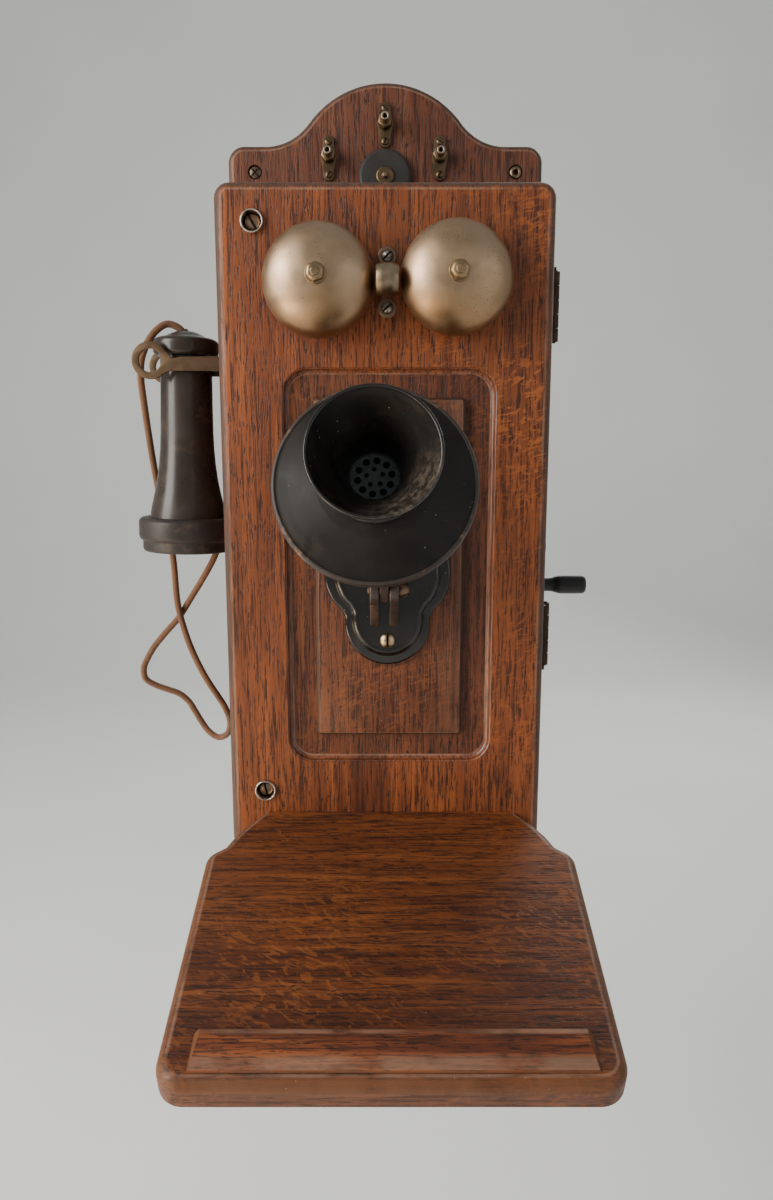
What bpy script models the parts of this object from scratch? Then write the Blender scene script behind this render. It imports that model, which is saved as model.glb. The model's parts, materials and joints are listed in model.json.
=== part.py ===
"""An antique wall telephone with a magneto crank, as separate sub-parts at rest.

Metres, +Z up. The front faces -Y. The origin lies on the backboard's back face,
on the wall that the telephone hangs on.
"""

import math

import bmesh
import bpy
from mathutils import Matrix, Vector

OBJECT_NAME = "wall_telephone"

# Clearance between pieces that touch
GAP = 0.0003

# Backboard
BOARD_THICK = 0.016
BOARD_HALF = 0.1075
BOARD_BOTTOM = -0.243
BOARD_SHOULDER = 0.248
BOARD_CREST = 0.288
BOARD_CORNER = 0.011
CREST_RADIUS = 0.066
COVE_RADIUS = 0.038
COVE_X = 0.082
WALL_SCREW_X = 0.089
WALL_SCREW_Z = 0.2308

# Box
BOX_HALF = 0.098
BOX_TOP = 0.1895
BOX_BOTTOM = -0.207
BOX_BACK = -BOARD_THICK - GAP
BOX_WALL = 0.0095
CLEAT_LENGTH = 0.020
CLEAT_HEIGHT = 0.014

# Door
DOOR_FRONT = -0.124
DOOR_THICK = 0.020
DOOR_BACK = DOOR_FRONT + DOOR_THICK
DOOR_HALF = 0.0985
DOOR_TOP = 0.1945
DOOR_BOTTOM = -0.212
DOOR_CORNER = 0.009
DOOR_EDGE = 0.006
BOX_FRONT = DOOR_BACK + GAP
PANEL_X = 0.0026
FIELD_SIZE = (0.1275, 0.2429)
FIELD_CENTRE_Z = -0.030
FIELD_CORNER = 0.016
FIELD_DEPTH = 0.004
RAISED_SIZE = (0.0908, 0.2081)
RAISED_CENTRE_Z = -0.0302
RAISED_CORNER = 0.0025

# Hinges of the door
HINGE_X = 0.1021
HINGE_Y = DOOR_BACK + GAP / 2
HINGE_ZS = {"upper": 0.1283, "lower": -0.0726}
HINGE_LENGTH = 0.041
HINGE_RADIUS = 0.0026
HINGE_PIN = 0.0012
LEAF_THICK = 0.0011
LEAF_WIDTH = 0.013

# Lock screws in their cup washers
LOCK_X = -0.0762
LOCK_ZS = {"upper": 0.1723, "lower": -0.1702}
CUP_RADIUS = 0.00695

# Gongs and ringer
GONG_RADIUS = 0.0318
GONG_HEIGHT = 0.0215
GONG_WALL = 0.0014
GONG_RIM = 0.010
GONG_HOLE = 0.0030
GONGS = {"left": (-0.0379, 0.1380), "right": (0.0405, 0.1393)}
CLAPPER_X = 0.0013
CLAPPER_Z = 0.1372
CLAPPER_PIVOT_Y = -0.082
CLAPPER_PIVOT_Z = 0.100
CLAPPER_PIN = 0.0011
HAMMER_LENGTH = 0.0130
HAMMER_RADIUS = 0.0090
HAMMER_Y = DOOR_FRONT - 0.0185
RINGER_SCREW_ZS = {"upper": 0.1533, "lower": 0.1246}
COIL_RADIUS = 0.0096
COIL_OFFSET = 0.0173

# Transmitter
TILT_X = -0.0005
TILT_Y = -0.146
TILT_Z = -0.038
TRANSMITTER_TILT = math.radians(19)
TRANSMITTER_X = -0.005
RIM_CENTRE = Vector((TRANSMITTER_X, -0.2068, 0.0262))
RIM_RADIUS = 0.0527
CUP_DEPTH = 0.030
THROAT_RADIUS = 0.0122
SCREEN_RADIUS = 0.0138
SCREEN_THICK = 0.0014
SCREEN_FORWARD = 0.0108
MOUTH_RADIUS = 0.032
BASE_X = 0.0014
BASE_THICK = 0.007

# Receiver, hanging a little askew
RECEIVER_X = -0.1284
RECEIVER_Y = -0.072
NECK_Z = 0.096
RECEIVER_LEAN = math.radians(1.33)
NECK_RADIUS = 0.0163
EAR_RADIUS = 0.0318

# Hook
HOOK_X = -0.076
RING_X = -0.1461
RING_Z = 0.0984
RING_OUTER = 0.0114
RING_HOLE = 0.0071
PRONG_Y = 0.0206
PRONG_THICK = 0.0024
STRAP_BOTTOM = 0.0920
STRAP_TOP = 0.1008

# Cord
CORD_RADIUS = 0.0023
CORD_POINTS = 64
CORD_HOLE_Y = -0.045
CORD_HOLE_Z = -0.003

# Crank and magneto
CRANK_Y = -0.058
CRANK_Z = -0.0211
ARM_VECTOR = (0.0185, -0.0293)
ARM_X = 0.1053
ARM_THICK = 0.0033
SHAFT_RADIUS = 0.0038
GRIP_RADIUS = 0.0065
GEAR_MODULE = 0.0015
GEAR_TEETH = 32
PINION_TEETH = 8
GEAR_X = 0.0775
GEAR_WIDTH = 0.005
MAGNETO_X = 0.0402
ARMATURE_Z = CRANK_Z - GEAR_MODULE * (GEAR_TEETH + PINION_TEETH) / 2

# Shelf, in its own frame: x across, y along the slope away from the door
SHELF_SLOPE = math.radians(18.5)
SHELF_TOP_Z = -0.1844
SHELF_THICK = 0.018
SHELF_LENGTH = 0.1820
SHELF_X = 0.0032
SHELF_HALF = 0.1112

FINISHES = {
    "oak": ((0.26, 0.09, 0.035), 0.45, 0.0),
    "gong_metal": ((0.55, 0.46, 0.33), 0.35, 1.0),
    "brass": ((0.45, 0.33, 0.16), 0.45, 1.0),
    "bronze": ((0.28, 0.20, 0.12), 0.5, 1.0),
    "steel": ((0.45, 0.43, 0.40), 0.4, 1.0),
    "iron": ((0.05, 0.05, 0.05), 0.6, 1.0),
    "japan": ((0.02, 0.018, 0.016), 0.25, 0.0),
    "black_paint": ((0.03, 0.029, 0.027), 0.5, 0.0),
    "rubber": ((0.035, 0.03, 0.027), 0.45, 0.0),
    "carbon": ((0.06, 0.06, 0.06), 0.7, 0.0),
    "winding": ((0.10, 0.16, 0.08), 0.8, 0.0),
    "cloth": ((0.36, 0.17, 0.07), 0.9, 0.0),
}

FRONT = Matrix.Rotation(math.radians(90), 4, "X")
SIDE = Matrix(((0, 0, 1, 0), (1, 0, 0, 0), (0, 1, 0, 0), (0, 0, 0, 1)))
TOWARD_RIGHT = Vector((1, 0, 0))
TALK = Vector((0, -math.cos(TRANSMITTER_TILT), math.sin(TRANSMITTER_TILT)))

for old in list(bpy.data.objects):
    bpy.data.objects.remove(old)
parts = bpy.data.collections.new(OBJECT_NAME)
cutters = bpy.data.collections.new("cutters")
cutters.hide_render = True
for group in (parts, cutters):
    bpy.context.scene.collection.children.link(group)
frames = {}


# Frames, materials and placing


def facing(direction):
    """A rotation that turns local Z to this direction."""
    return Vector(direction).to_track_quat("Z", "Y").to_matrix().to_4x4()


def at(x, y, z, turn=None):
    return Matrix.Translation((x, y, z)) @ (turn or Matrix.Identity(4))


def body(name, matrix):
    """An empty on a joint's axis, which the moving pieces hang from."""
    empty = bpy.data.objects.new(f"{name}_axis", None)
    empty.matrix_basis = matrix
    parts.objects.link(empty)
    frames[name] = (empty, matrix)


def add(name, mesh, matrix, finish, frame=None):
    """A sub-part with a material of its own, at this world matrix."""
    obj = bpy.data.objects.new(name, mesh)
    colour, roughness, metallic = FINISHES[finish]
    made = bpy.data.materials.new(f"{name}_{finish}")
    made.use_nodes = True
    shader = made.node_tree.nodes["Principled BSDF"]
    shader.inputs["Base Color"].default_value = (*colour, 1.0)
    shader.inputs["Roughness"].default_value = roughness
    shader.inputs["Metallic"].default_value = metallic
    mesh.materials.append(made)
    parts.objects.link(obj)
    if frame:
        empty, frame_matrix = frames[frame]
        obj.parent = empty
        obj.matrix_basis = frame_matrix.inverted() @ matrix
    else:
        obj.matrix_basis = matrix
    return obj


def tool(mesh, matrix):
    """A hidden shape that a Boolean takes away or joins on."""
    obj = bpy.data.objects.new("cutter", mesh)
    obj.hide_render = True
    obj.display_type = "WIRE"
    obj.matrix_basis = matrix
    cutters.objects.link(obj)
    return obj


def combine(obj, operation, *tools):
    for other in tools:
        step = obj.modifiers.new(operation.lower(), "BOOLEAN")
        step.operation = operation
        step.solver = "EXACT"
        step.object = other


def cut(obj, *tools):
    combine(obj, "DIFFERENCE", *tools)


def fuse(obj, *tools):
    combine(obj, "UNION", *tools)


# Shapes


def from_bmesh(shape):
    mesh = bpy.data.meshes.new("shape")
    shape.to_mesh(mesh)
    shape.free()
    return mesh


def block(x, y, z):
    shape = bmesh.new()
    bmesh.ops.create_cube(shape, size=1.0)
    bmesh.ops.scale(shape, vec=(x, y, z), verts=shape.verts)
    return from_bmesh(shape)


def rod(radius, length, sides=20, tip=None):
    """A cylinder, or a cone if a tip radius is given, along local Z."""
    shape = bmesh.new()
    bmesh.ops.create_cone(
        shape,
        cap_ends=True,
        segments=sides,
        radius1=radius,
        radius2=radius if tip is None else tip,
        depth=length,
    )
    mesh = from_bmesh(shape)
    if sides > 8:
        mesh.shade_smooth()
        mesh.set_sharp_from_angle(angle=math.radians(40))
    return mesh


def profile_mesh(points, closed):
    shape = bmesh.new()
    corners = [shape.verts.new((radius, 0.0, height)) for radius, height in points]
    for first, second in zip(corners, corners[1:]):
        shape.edges.new((first, second))
    if closed:
        shape.edges.new((corners[-1], corners[0]))
    return from_bmesh(shape)


def spin(obj, steps):
    turn = obj.modifiers.new("turned", "SCREW")
    turn.axis = "Z"
    turn.steps = steps
    turn.render_steps = steps
    turn.use_merge_vertices = True
    turn.merge_threshold = 0.00001
    turn.use_smooth_shade = True
    return obj


def turned(name, points, matrix, finish, frame=None, steps=22, closed=False):
    """A turned sub-part: (radius, height) points, down the outer side."""
    return spin(add(name, profile_mesh(points, closed), matrix, finish, frame), steps)


def turned_tool(points, matrix, steps=24):
    return spin(tool(profile_mesh(points, False), matrix), steps)


def solid_of_curve(curve):
    """The curve's evaluated surface as a closed mesh."""
    holder = bpy.data.objects.new("outline", curve)
    bpy.context.scene.collection.objects.link(holder)
    bpy.context.view_layer.update()
    graph = bpy.context.evaluated_depsgraph_get()
    mesh = bpy.data.meshes.new_from_object(holder.evaluated_get(graph))
    shape = bmesh.new()
    shape.from_mesh(mesh)
    bmesh.ops.remove_doubles(shape, verts=shape.verts, dist=0.00001)
    bmesh.ops.dissolve_limit(
        shape, angle_limit=math.radians(0.5), verts=shape.verts, edges=shape.edges
    )
    bmesh.ops.triangulate(shape, faces=[f for f in shape.faces if len(f.verts) > 4])
    bmesh.ops.recalc_face_normals(shape, faces=shape.faces)
    shape.to_mesh(mesh)
    shape.free()
    bpy.data.objects.remove(holder)
    return mesh


def plate(loops, thick):
    """A flat outline with holes, its thickness centred on local Z."""
    curve = bpy.data.curves.new("outline", "CURVE")
    curve.dimensions = "2D"
    curve.fill_mode = "BOTH"
    curve.extrude = thick / 2
    for loop in loops:
        spline = curve.splines.new("POLY")
        spline.points.add(len(loop) - 1)
        spline.use_cyclic_u = True
        for point, (x, y) in zip(spline.points, loop):
            point.co = (x, y, 0.0, 1.0)
    return solid_of_curve(curve)


def tube(points, radius, resolution=2):
    curve = bpy.data.curves.new("run", "CURVE")
    curve.dimensions = "3D"
    curve.bevel_depth = radius
    curve.bevel_resolution = resolution
    curve.use_fill_caps = True
    spline = curve.splines.new("POLY")
    spline.points.add(len(points) - 1)
    for point, place in zip(spline.points, points):
        point.co = (*place, 1.0)
    return curve


def soften(obj, width, segments, chosen=None):
    """Bevels the sharp edges, or only those whose ends the test accepts."""
    step = obj.modifiers.new("softened", "BEVEL")
    step.width = width
    step.segments = segments
    if chosen is None:
        step.limit_method = "ANGLE"
        step.angle_limit = math.radians(40)
        return
    step.limit_method = "WEIGHT"
    shape = bmesh.new()
    shape.from_mesh(obj.data)
    weight = shape.edges.layers.float.new("bevel_weight_edge")
    for edge in shape.edges:
        if edge.calc_face_angle(0.0) < math.radians(40):
            continue
        if all(chosen(corner.co) for corner in edge.verts):
            edge[weight] = 1.0
    shape.to_mesh(obj.data)
    shape.free()


# Outlines


def arc(cx, cy, radius, start, end, steps):
    """Points on a round stretch, with its angles in degrees."""
    turns = [math.radians(start + (end - start) * i / steps) for i in range(steps + 1)]
    return [(cx + radius * math.cos(t), cy + radius * math.sin(t)) for t in turns]


def circle(cx, cy, radius, sides=16):
    return arc(cx, cy, radius, 0, 360, sides)[:-1]


def rounded(width, height, radius, steps=4, cx=0.0, cy=0.0):
    x, y = width / 2 - radius, height / 2 - radius
    corners = ((x, y, 0), (-x, y, 90), (-x, -y, 180), (x, -y, 270))
    return [
        point
        for dx, dy, start in corners
        for point in arc(cx + dx, cy + dy, radius, start, start + 90, steps)
    ]


def mirrored(half):
    """A closed outline from its right half, bottom to top."""
    return half + [(-x, y) for x, y in reversed(half) if x > 0.00001]


def backboard_outline():
    crest_z = BOARD_CREST - CREST_RADIUS
    cove_z = BOARD_SHOULDER + COVE_RADIUS
    meeting = math.degrees(math.atan2(cove_z - crest_z, COVE_X))
    x = BOARD_HALF - BOARD_CORNER
    half = arc(x, BOARD_BOTTOM + BOARD_CORNER, BOARD_CORNER, -90, 0, 3)
    half += arc(x, BOARD_SHOULDER - BOARD_CORNER, BOARD_CORNER, 0, 90, 4)
    half += arc(COVE_X, cove_z, COVE_RADIUS, 270, 180 + meeting, 5)
    half += arc(0, crest_z, CREST_RADIUS, meeting, 90, 6)[1:]
    return mirrored(half)


def base_outline():
    """The transmitter base: a round lobe below, shoulders above, twice."""
    lobe = arc(0, -0.0610, 0.0262, -90, 8, 7)
    side = [(0.0290, -0.0520), (0.0345, -0.0460)]
    shoulder = arc(0, -0.0300, 0.0385, -14, 14, 3)
    upper = [(x, -0.0600 - z) for x, z in reversed(lobe + side)]
    return mirrored(lobe + side + shoulder + upper)


def gear_outline(teeth, module, clearance):
    """Straight-sided teeth with their sides thinned by the clearance."""
    pitch = teeth * module / 2
    root, tip = pitch - 1.3 * module, pitch + 0.85 * module
    outline = []
    for tooth in range(teeth):
        middle = 2 * math.pi * (tooth + 0.5) / teeth
        base = math.pi / teeth * 0.62 - clearance / pitch
        crown = math.pi / teeth * 0.30 - clearance / pitch
        for radius, side in ((root, -base), (tip, -crown), (tip, crown), (root, base)):
            turn = middle + side
            outline.append((radius * math.cos(turn), radius * math.sin(turn)))
    return outline


def catmull(route, count):
    """Evenly spread points on a smooth curve through the route's points."""
    places = [Vector(point) for point in route]
    ends = [places[0] * 2 - places[1], *places, places[-1] * 2 - places[-2]]
    fine = []
    for a, b, c, d in zip(ends, ends[1:], ends[2:], ends[3:]):
        for step in range(12):
            t = step / 12
            fine.append(
                0.5
                * (
                    2 * b
                    + (c - a) * t
                    + (2 * a - 5 * b + 4 * c - d) * t * t
                    + (3 * b - a - 3 * c + d) * t**3
                )
            )
    fine.append(places[-1])
    runs = [0.0]
    for first, second in zip(fine, fine[1:]):
        runs.append(runs[-1] + (second - first).length)
    spread, index = [], 0
    for number in range(count):
        goal = runs[-1] * number / (count - 1)
        while index < len(runs) - 2 and runs[index + 1] < goal:
            index += 1
        share = (goal - runs[index]) / (runs[index + 1] - runs[index])
        spread.append(fine[index].lerp(fine[index + 1], share))
    return spread


# The box on the wall


def make_backboard():
    board = add(
        "backboard",
        plate([backboard_outline()], BOARD_THICK),
        at(0, -BOARD_THICK / 2, 0, FRONT),
        "oak",
    )
    soften(board, 0.0045, 2, lambda corner: corner.z > 0)
    for side in (-1, 1):
        place = at(side * WALL_SCREW_X, -BOARD_THICK, WALL_SCREW_Z, FRONT)
        cut(board, tool(rod(0.0047, 0.006, 16), place))
        cut(board, tool(rod(0.0025, 0.050, 12), place))


def make_wall_screws():
    for name, side in (("left", -1), ("right", 1)):
        head = 0.0040
        profile = [
            (0, 0),
            (head * 0.55, -0.0002),
            (head, -0.0012),
            (head, -0.0020),
            (0.0020, -0.0026),
            (0.0020, -0.0120),
            (0, -0.0130),
        ]
        place = at(side * WALL_SCREW_X, -BOARD_THICK - 0.0004, WALL_SCREW_Z, FRONT)
        turned(f"wall_screw_{name}", profile, place, "bronze", steps=10)


def make_box():
    depth = BOX_BACK - BOX_FRONT
    middle = (BOX_BACK + BOX_FRONT) / 2
    height = BOX_TOP - BOX_BOTTOM
    sides = {}
    for name, side in (("left", -1), ("right", 1)):
        place = at(side * (BOX_HALF - BOX_WALL / 2), middle, (BOX_TOP + BOX_BOTTOM) / 2)
        mesh = block(BOX_WALL, depth, height)
        sides[name] = add(f"cabinet_side_{name}", mesh, place, "oak")
    width = 2 * (BOX_HALF - BOX_WALL - GAP)
    for name, z in (("top", BOX_TOP - BOX_WALL / 2), ("bottom", BOX_BOTTOM + BOX_WALL / 2)):
        add(f"cabinet_{name}", block(width, depth, BOX_WALL), at(0, middle, z), "oak")

    # Cleats that take the lock screws
    inner = -BOX_HALF + BOX_WALL
    for z in LOCK_ZS.values():
        cleat_x = inner + CLEAT_LENGTH / 2 - 0.001
        cleat = block(CLEAT_LENGTH + 0.002, 0.018, CLEAT_HEIGHT)
        fuse(sides["left"], tool(cleat, at(cleat_x, BOX_FRONT + 0.009, z)))
        screw_hole = tool(rod(0.0034, 0.060, 12), at(LOCK_X, BOX_FRONT, z, FRONT))
        cut(sides["left"], screw_hole)

    # Openings for the hook, the cord and the crank
    wall_x = BOX_HALF - BOX_WALL / 2
    hook_slot = tool(block(0.030, 0.0066, 0.026), at(-wall_x, RECEIVER_Y, 0.0985))
    cord_hole = tool(
        rod(0.0043, 0.030, 16), at(-wall_x, CORD_HOLE_Y, CORD_HOLE_Z, facing(TOWARD_RIGHT))
    )
    cut(sides["left"], hook_slot, cord_hole)
    crank_hole = tool(
        rod(0.0067, 0.030, 20), at(wall_x, CRANK_Y, CRANK_Z, facing(TOWARD_RIGHT))
    )
    cut(sides["right"], crank_hole)


def make_cord_bushing():
    half = BOX_WALL / 2
    bore = CORD_RADIUS + 0.0008
    profile = [
        (bore, half + 0.0016),
        (0.0062, half + 0.0016),
        (0.0066, half + 0.0006),
        (0.0066, half + GAP),
        (0.0040, half + GAP),
        (0.0040, -half - 0.001),
        (bore, -half - 0.001),
    ]
    place = at(
        -BOX_HALF + half, CORD_HOLE_Y, CORD_HOLE_Z, facing(-TOWARD_RIGHT)
    )
    turned("cord_bushing", profile, place, "bronze", steps=14, closed=True)


def make_binding_post(name, x, z):
    """A lozenge plate with a hollow stud, its nut, and a small screw at each end."""
    face = -BOARD_THICK - GAP
    outline = mirrored(
        arc(0, -0.0105, 0.0040, -90, 20, 4)
        + arc(0, 0.0005, 0.0056, -20, 20, 3)
        + arc(0, 0.0105, 0.0040, -20, 90, 4)
    )
    thick = 0.0016
    place = at(x, face - thick / 2, z, FRONT)
    post = add(f"binding_post_{name}", plate([outline], thick), place, "brass")
    up = z + 0.0012
    fuse(
        post,
        tool(rod(0.0044, 0.0040, 10), at(x, face - 0.0026, up, FRONT)),
        tool(rod(0.0050, 0.0030, 6), at(x, face - 0.0056, up, FRONT)),
        tool(rod(0.0029, 0.0090, 10), at(x, face - 0.0102, up, FRONT)),
        tool(rod(0.0024, 0.0022, 8, 0.0014), at(x, face - 0.0026, z - 0.0106, FRONT)),
        tool(rod(0.0026, 0.0016, 8, 0.0020), at(x, face - 0.0022, z + 0.0104, FRONT)),
    )
    cut(post, tool(rod(0.0013, 0.0100, 8), at(x, face - 0.0150, up, FRONT)))


def make_arrester():
    face = -BOARD_THICK - GAP
    profile = [
        (0, 0.0078),
        (0.0016, 0.0076),
        (0.0019, 0.0060),
        (0.0060, 0.0060),
        (0.0060, 0.0046),
        (0.0168, 0.0044),
        (0.0179, 0.0034),
        (0.0179, 0),
        (0, 0),
    ]
    turned("arrester_disc", profile, at(-0.0002, face, 0.2270, FRONT), "carbon", steps=24)


# The door


def make_door():
    width, height = 2 * DOOR_HALF, DOOR_TOP - DOOR_BOTTOM
    middle_z = (DOOR_TOP + DOOR_BOTTOM) / 2
    door = add(
        "door_board",
        plate([rounded(width, height, DOOR_CORNER)], DOOR_THICK),
        at(0, DOOR_FRONT + DOOR_THICK / 2, middle_z, FRONT),
        "oak",
        "door",
    )
    soften(door, DOOR_EDGE, 2, lambda corner: corner.z > 0)

    # The sunken field around the raised panel
    field = rounded(*FIELD_SIZE, FIELD_CORNER, 5, 0.0, FIELD_CENTRE_Z)
    raised = rounded(*RAISED_SIZE, RAISED_CORNER, 2, 0.0, RAISED_CENTRE_Z)
    margin = 0.002
    mesh = plate([field, raised], FIELD_DEPTH + margin)
    pocket = tool(mesh, at(PANEL_X, DOOR_FRONT + (FIELD_DEPTH - margin) / 2, 0, FRONT))
    soften(pocket, 0.0035, 1, lambda corner: corner.z < 0)
    cut(door, pocket)

    # Holes for the lock screws, the ringer screws and the clapper rod
    for z in LOCK_ZS.values():
        place = at(LOCK_X, DOOR_FRONT, z, FRONT)
        cut(door, tool(rod(0.0058, 0.013, 16), place), tool(rod(0.0031, 0.060, 12), place))
    for z in RINGER_SCREW_ZS.values():
        cut(door, tool(rod(0.0020, 0.060, 10), at(CLAPPER_X, DOOR_FRONT, z, FRONT)))
    slot = tool(block(0.0085, 0.060, 0.0060), at(CLAPPER_X, DOOR_FRONT, CLAPPER_Z))
    cut(door, slot)


def make_hinges():
    """Five knuckles: the box's leaf has three of them, the door's leaf two."""
    count = 5
    pitch = HINGE_LENGTH / count
    leaf_x = BOX_HALF + GAP + 0.0002 + LEAF_THICK / 2
    for name, z in HINGE_ZS.items():
        for leaf, side, owner, frame in (
            ("frame", 1, (0, 2, 4), None),
            ("door", -1, (1, 3), "door"),
        ):
            reach = LEAF_WIDTH - HINGE_RADIUS - 0.0006
            leaf_y = HINGE_Y + side * (HINGE_RADIUS + 0.0006 + reach / 2)
            mesh = block(LEAF_THICK, reach, HINGE_LENGTH)
            x = leaf_x + (0.0005 if leaf == "door" else 0.0)
            hinge = add(f"hinge_{leaf}_leaf_{name}", mesh, at(x, leaf_y, z), "bronze", frame)
            for knuckle in owner:
                centre = z + (knuckle - (count - 1) / 2) * pitch
                length = pitch - 2 * GAP
                web = block(0.0024, 0.0042, length)
                web_y = HINGE_Y + side * 0.0026
                fuse(
                    hinge,
                    tool(web, at(x + 0.0006, web_y, centre)),
                    tool(rod(HINGE_RADIUS, length, 10), at(HINGE_X, HINGE_Y, centre)),
                )
            if leaf == "door":
                cut(hinge, tool(rod(HINGE_PIN + 0.0003, 0.060, 8), at(HINGE_X, HINGE_Y, z)))
            else:
                pin = rod(HINGE_PIN, HINGE_LENGTH + 0.0010, 8)
                fuse(hinge, tool(pin, at(HINGE_X, HINGE_Y, z)))


def make_lock_screws():
    for name, z in LOCK_ZS.items():
        lip = 0.0020
        cup = [
            (0.0053, lip * 0.5),
            (0.0057, lip),
            (0.0064, lip),
            (CUP_RADIUS, lip * 0.4),
            (CUP_RADIUS, GAP),
            (0.0055, GAP),
            (0.0055, -0.0058),
            (0.0027, -0.0058),
            (0.0027, -0.0048),
            (0.0049, -0.0046),
        ]
        place = at(LOCK_X, DOOR_FRONT, z, FRONT)
        turned(f"cup_washer_{name}", cup, place, "steel", "door", 14, closed=True)
        screw = [
            (0, -0.0012),
            (0.0020, -0.0014),
            (0.0033, -0.0026),
            (0.0033, -0.0044),
            (0.0022, -0.0045),
            (0.0022, -0.0330),
            (0, -0.0345),
        ]
        lock = turned(f"lock_screw_{name}", screw, place, "bronze", f"lock_{name}", 10)
        slot = at(LOCK_X, DOOR_FRONT + 0.0012, z) @ Matrix.Rotation(math.radians(28), 4, "Y")
        cut(lock, tool(block(0.0009, 0.0030, 0.012), slot))


def gong_radius(height):
    """The gong's outer radius at this height above its rim."""
    share = min(height / GONG_HEIGHT, 1.0)
    return GONG_RADIUS * (1 - share**2.25) ** (1 / 2.05)


def make_gongs():
    steps = 5
    for name, (x, z) in GONGS.items():
        rim = at(x, DOOR_FRONT - GONG_RIM, z, FRONT)
        heights = [GONG_HEIGHT * (1 - (1 - i / steps) ** 1.8) for i in range(steps)]
        outer = [(gong_radius(h), h) for h in heights]
        inner = [(r - GONG_WALL, h if h else 0) for r, h in outer]
        top_out = (GONG_HOLE, GONG_HEIGHT)
        top_in = (GONG_HOLE, GONG_HEIGHT - GONG_WALL)
        inner[-1] = (inner[-1][0] - 0.0012, inner[-1][1] - 0.0006)
        profile = [top_out, *reversed(outer), *inner, top_in]
        turned(f"gong_{name}", profile, rim, "gong_metal", "door", 24, closed=True)
        foot = -GONG_RIM + GAP
        inside = GONG_HEIGHT - GONG_WALL - GAP
        over = GONG_HEIGHT + GAP
        bolt = [
            (0, over + 0.0062),
            (0.0034, over + 0.0060),
            (0.0046, over + 0.0048),
            (0.0046, over),
            (GONG_HOLE - GAP, over),
            (GONG_HOLE - GAP, inside),
            (0.0048, inside),
            (0.0048, foot),
            (0, foot),
        ]
        post = turned(f"gong_bolt_{name}", bolt, rim, "brass", "door", 12)
        head = rim @ Matrix.Translation((0, 0, over + 0.0024))
        fuse(post, tool(rod(0.0054, 0.0044, 6), head))


def pivot_bearing(pivot, along):
    """Where a cheek of the armature's bearing stands, this far along its pin."""
    return at(pivot.x, pivot.y + along, pivot.z - 0.0014)


def make_ringer():
    """A frame on the door's back with two coils over a rocking armature."""
    back = DOOR_BACK + GAP
    frame_x = CLAPPER_X
    frame_z = (RINGER_SCREW_ZS["upper"] + RINGER_SCREW_ZS["lower"]) / 2
    coil_y = CLAPPER_PIVOT_Y
    outline = rounded(0.061, 0.050, 0.004, 2)
    window = rounded(0.010, 0.010, 0.002, 1, 0.0, CLAPPER_Z - frame_z)
    frame = add(
        "ringer_frame",
        plate([outline, window], 0.003),
        at(frame_x, back + 0.0015, frame_z, FRONT),
        "iron",
        "door",
    )
    yoke_z = frame_z + 0.0232
    depth = 0.032
    yoke = block(0.0606, depth, 0.0035)
    fuse(frame, tool(yoke, at(frame_x, back + depth / 2 + 0.001, yoke_z)))
    for side in (-1, 1):
        cheek = block(0.0030, depth, 0.014)
        place = at(frame_x + side * 0.0288, back + depth / 2 + 0.001, yoke_z - 0.005)
        fuse(frame, tool(cheek, place))

    # The armature's bearing, below the coils: a tongue, a floor, two cheeks and a pin
    pivot = Vector((frame_x, CLAPPER_PIVOT_Y, CLAPPER_PIVOT_Z))
    floor_z = CLAPPER_PIVOT_Z - 0.0065
    fuse(
        frame,
        tool(block(0.020, 0.003, 0.030), at(frame_x, back + 0.0015, floor_z + 0.0140)),
        tool(block(0.012, 0.032, 0.0022), at(frame_x, back + 0.0159, floor_z)),
        tool(block(0.010, 0.0016, 0.0120), pivot_bearing(pivot, -0.0066)),
        tool(block(0.010, 0.0016, 0.0120), pivot_bearing(pivot, 0.0066)),
        tool(rod(CLAPPER_PIN, 0.0150, 10), at(*pivot, FRONT)),
    )
    coil_top = yoke_z - 0.00175 - GAP
    coil_bottom = CLAPPER_PIVOT_Z + 0.0068
    for name, side in (("left", -1), ("right", 1)):
        x = frame_x + side * COIL_OFFSET
        flange = COIL_RADIUS
        profile = [
            (0, 0),
            (flange, 0),
            (flange, -0.0020),
            (flange - 0.0014, -0.0022),
            (flange - 0.0014, coil_bottom - coil_top + 0.0042),
            (flange, coil_bottom - coil_top + 0.0040),
            (flange, coil_bottom - coil_top + 0.0020),
            (0.0036, coil_bottom - coil_top + 0.0018),
            (0.0036, coil_bottom - coil_top),
            (0, coil_bottom - coil_top),
        ]
        turned(f"ringer_coil_{name}", profile, at(x, coil_y, coil_top), "winding", "door", 14)
    for name, z in RINGER_SCREW_ZS.items():
        screw = [
            (0, 0.0040),
            (0.0018, 0.0036),
            (0.0030, 0.0022),
            (0.0033, GAP),
            (0.0016, GAP),
            (0.0016, -0.0190),
            (0, -0.0198),
        ]
        place = at(CLAPPER_X, DOOR_FRONT, z, FRONT)
        made = turned(f"ringer_screw_{name}", screw, place, "steel", "door", 10)
        tilt = Matrix.Rotation(math.radians(-50), 4, "Y")
        slot = at(CLAPPER_X, DOOR_FRONT - 0.0038, z) @ tilt
        cut(made, tool(block(0.012, 0.0022, 0.0008), slot))


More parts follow.
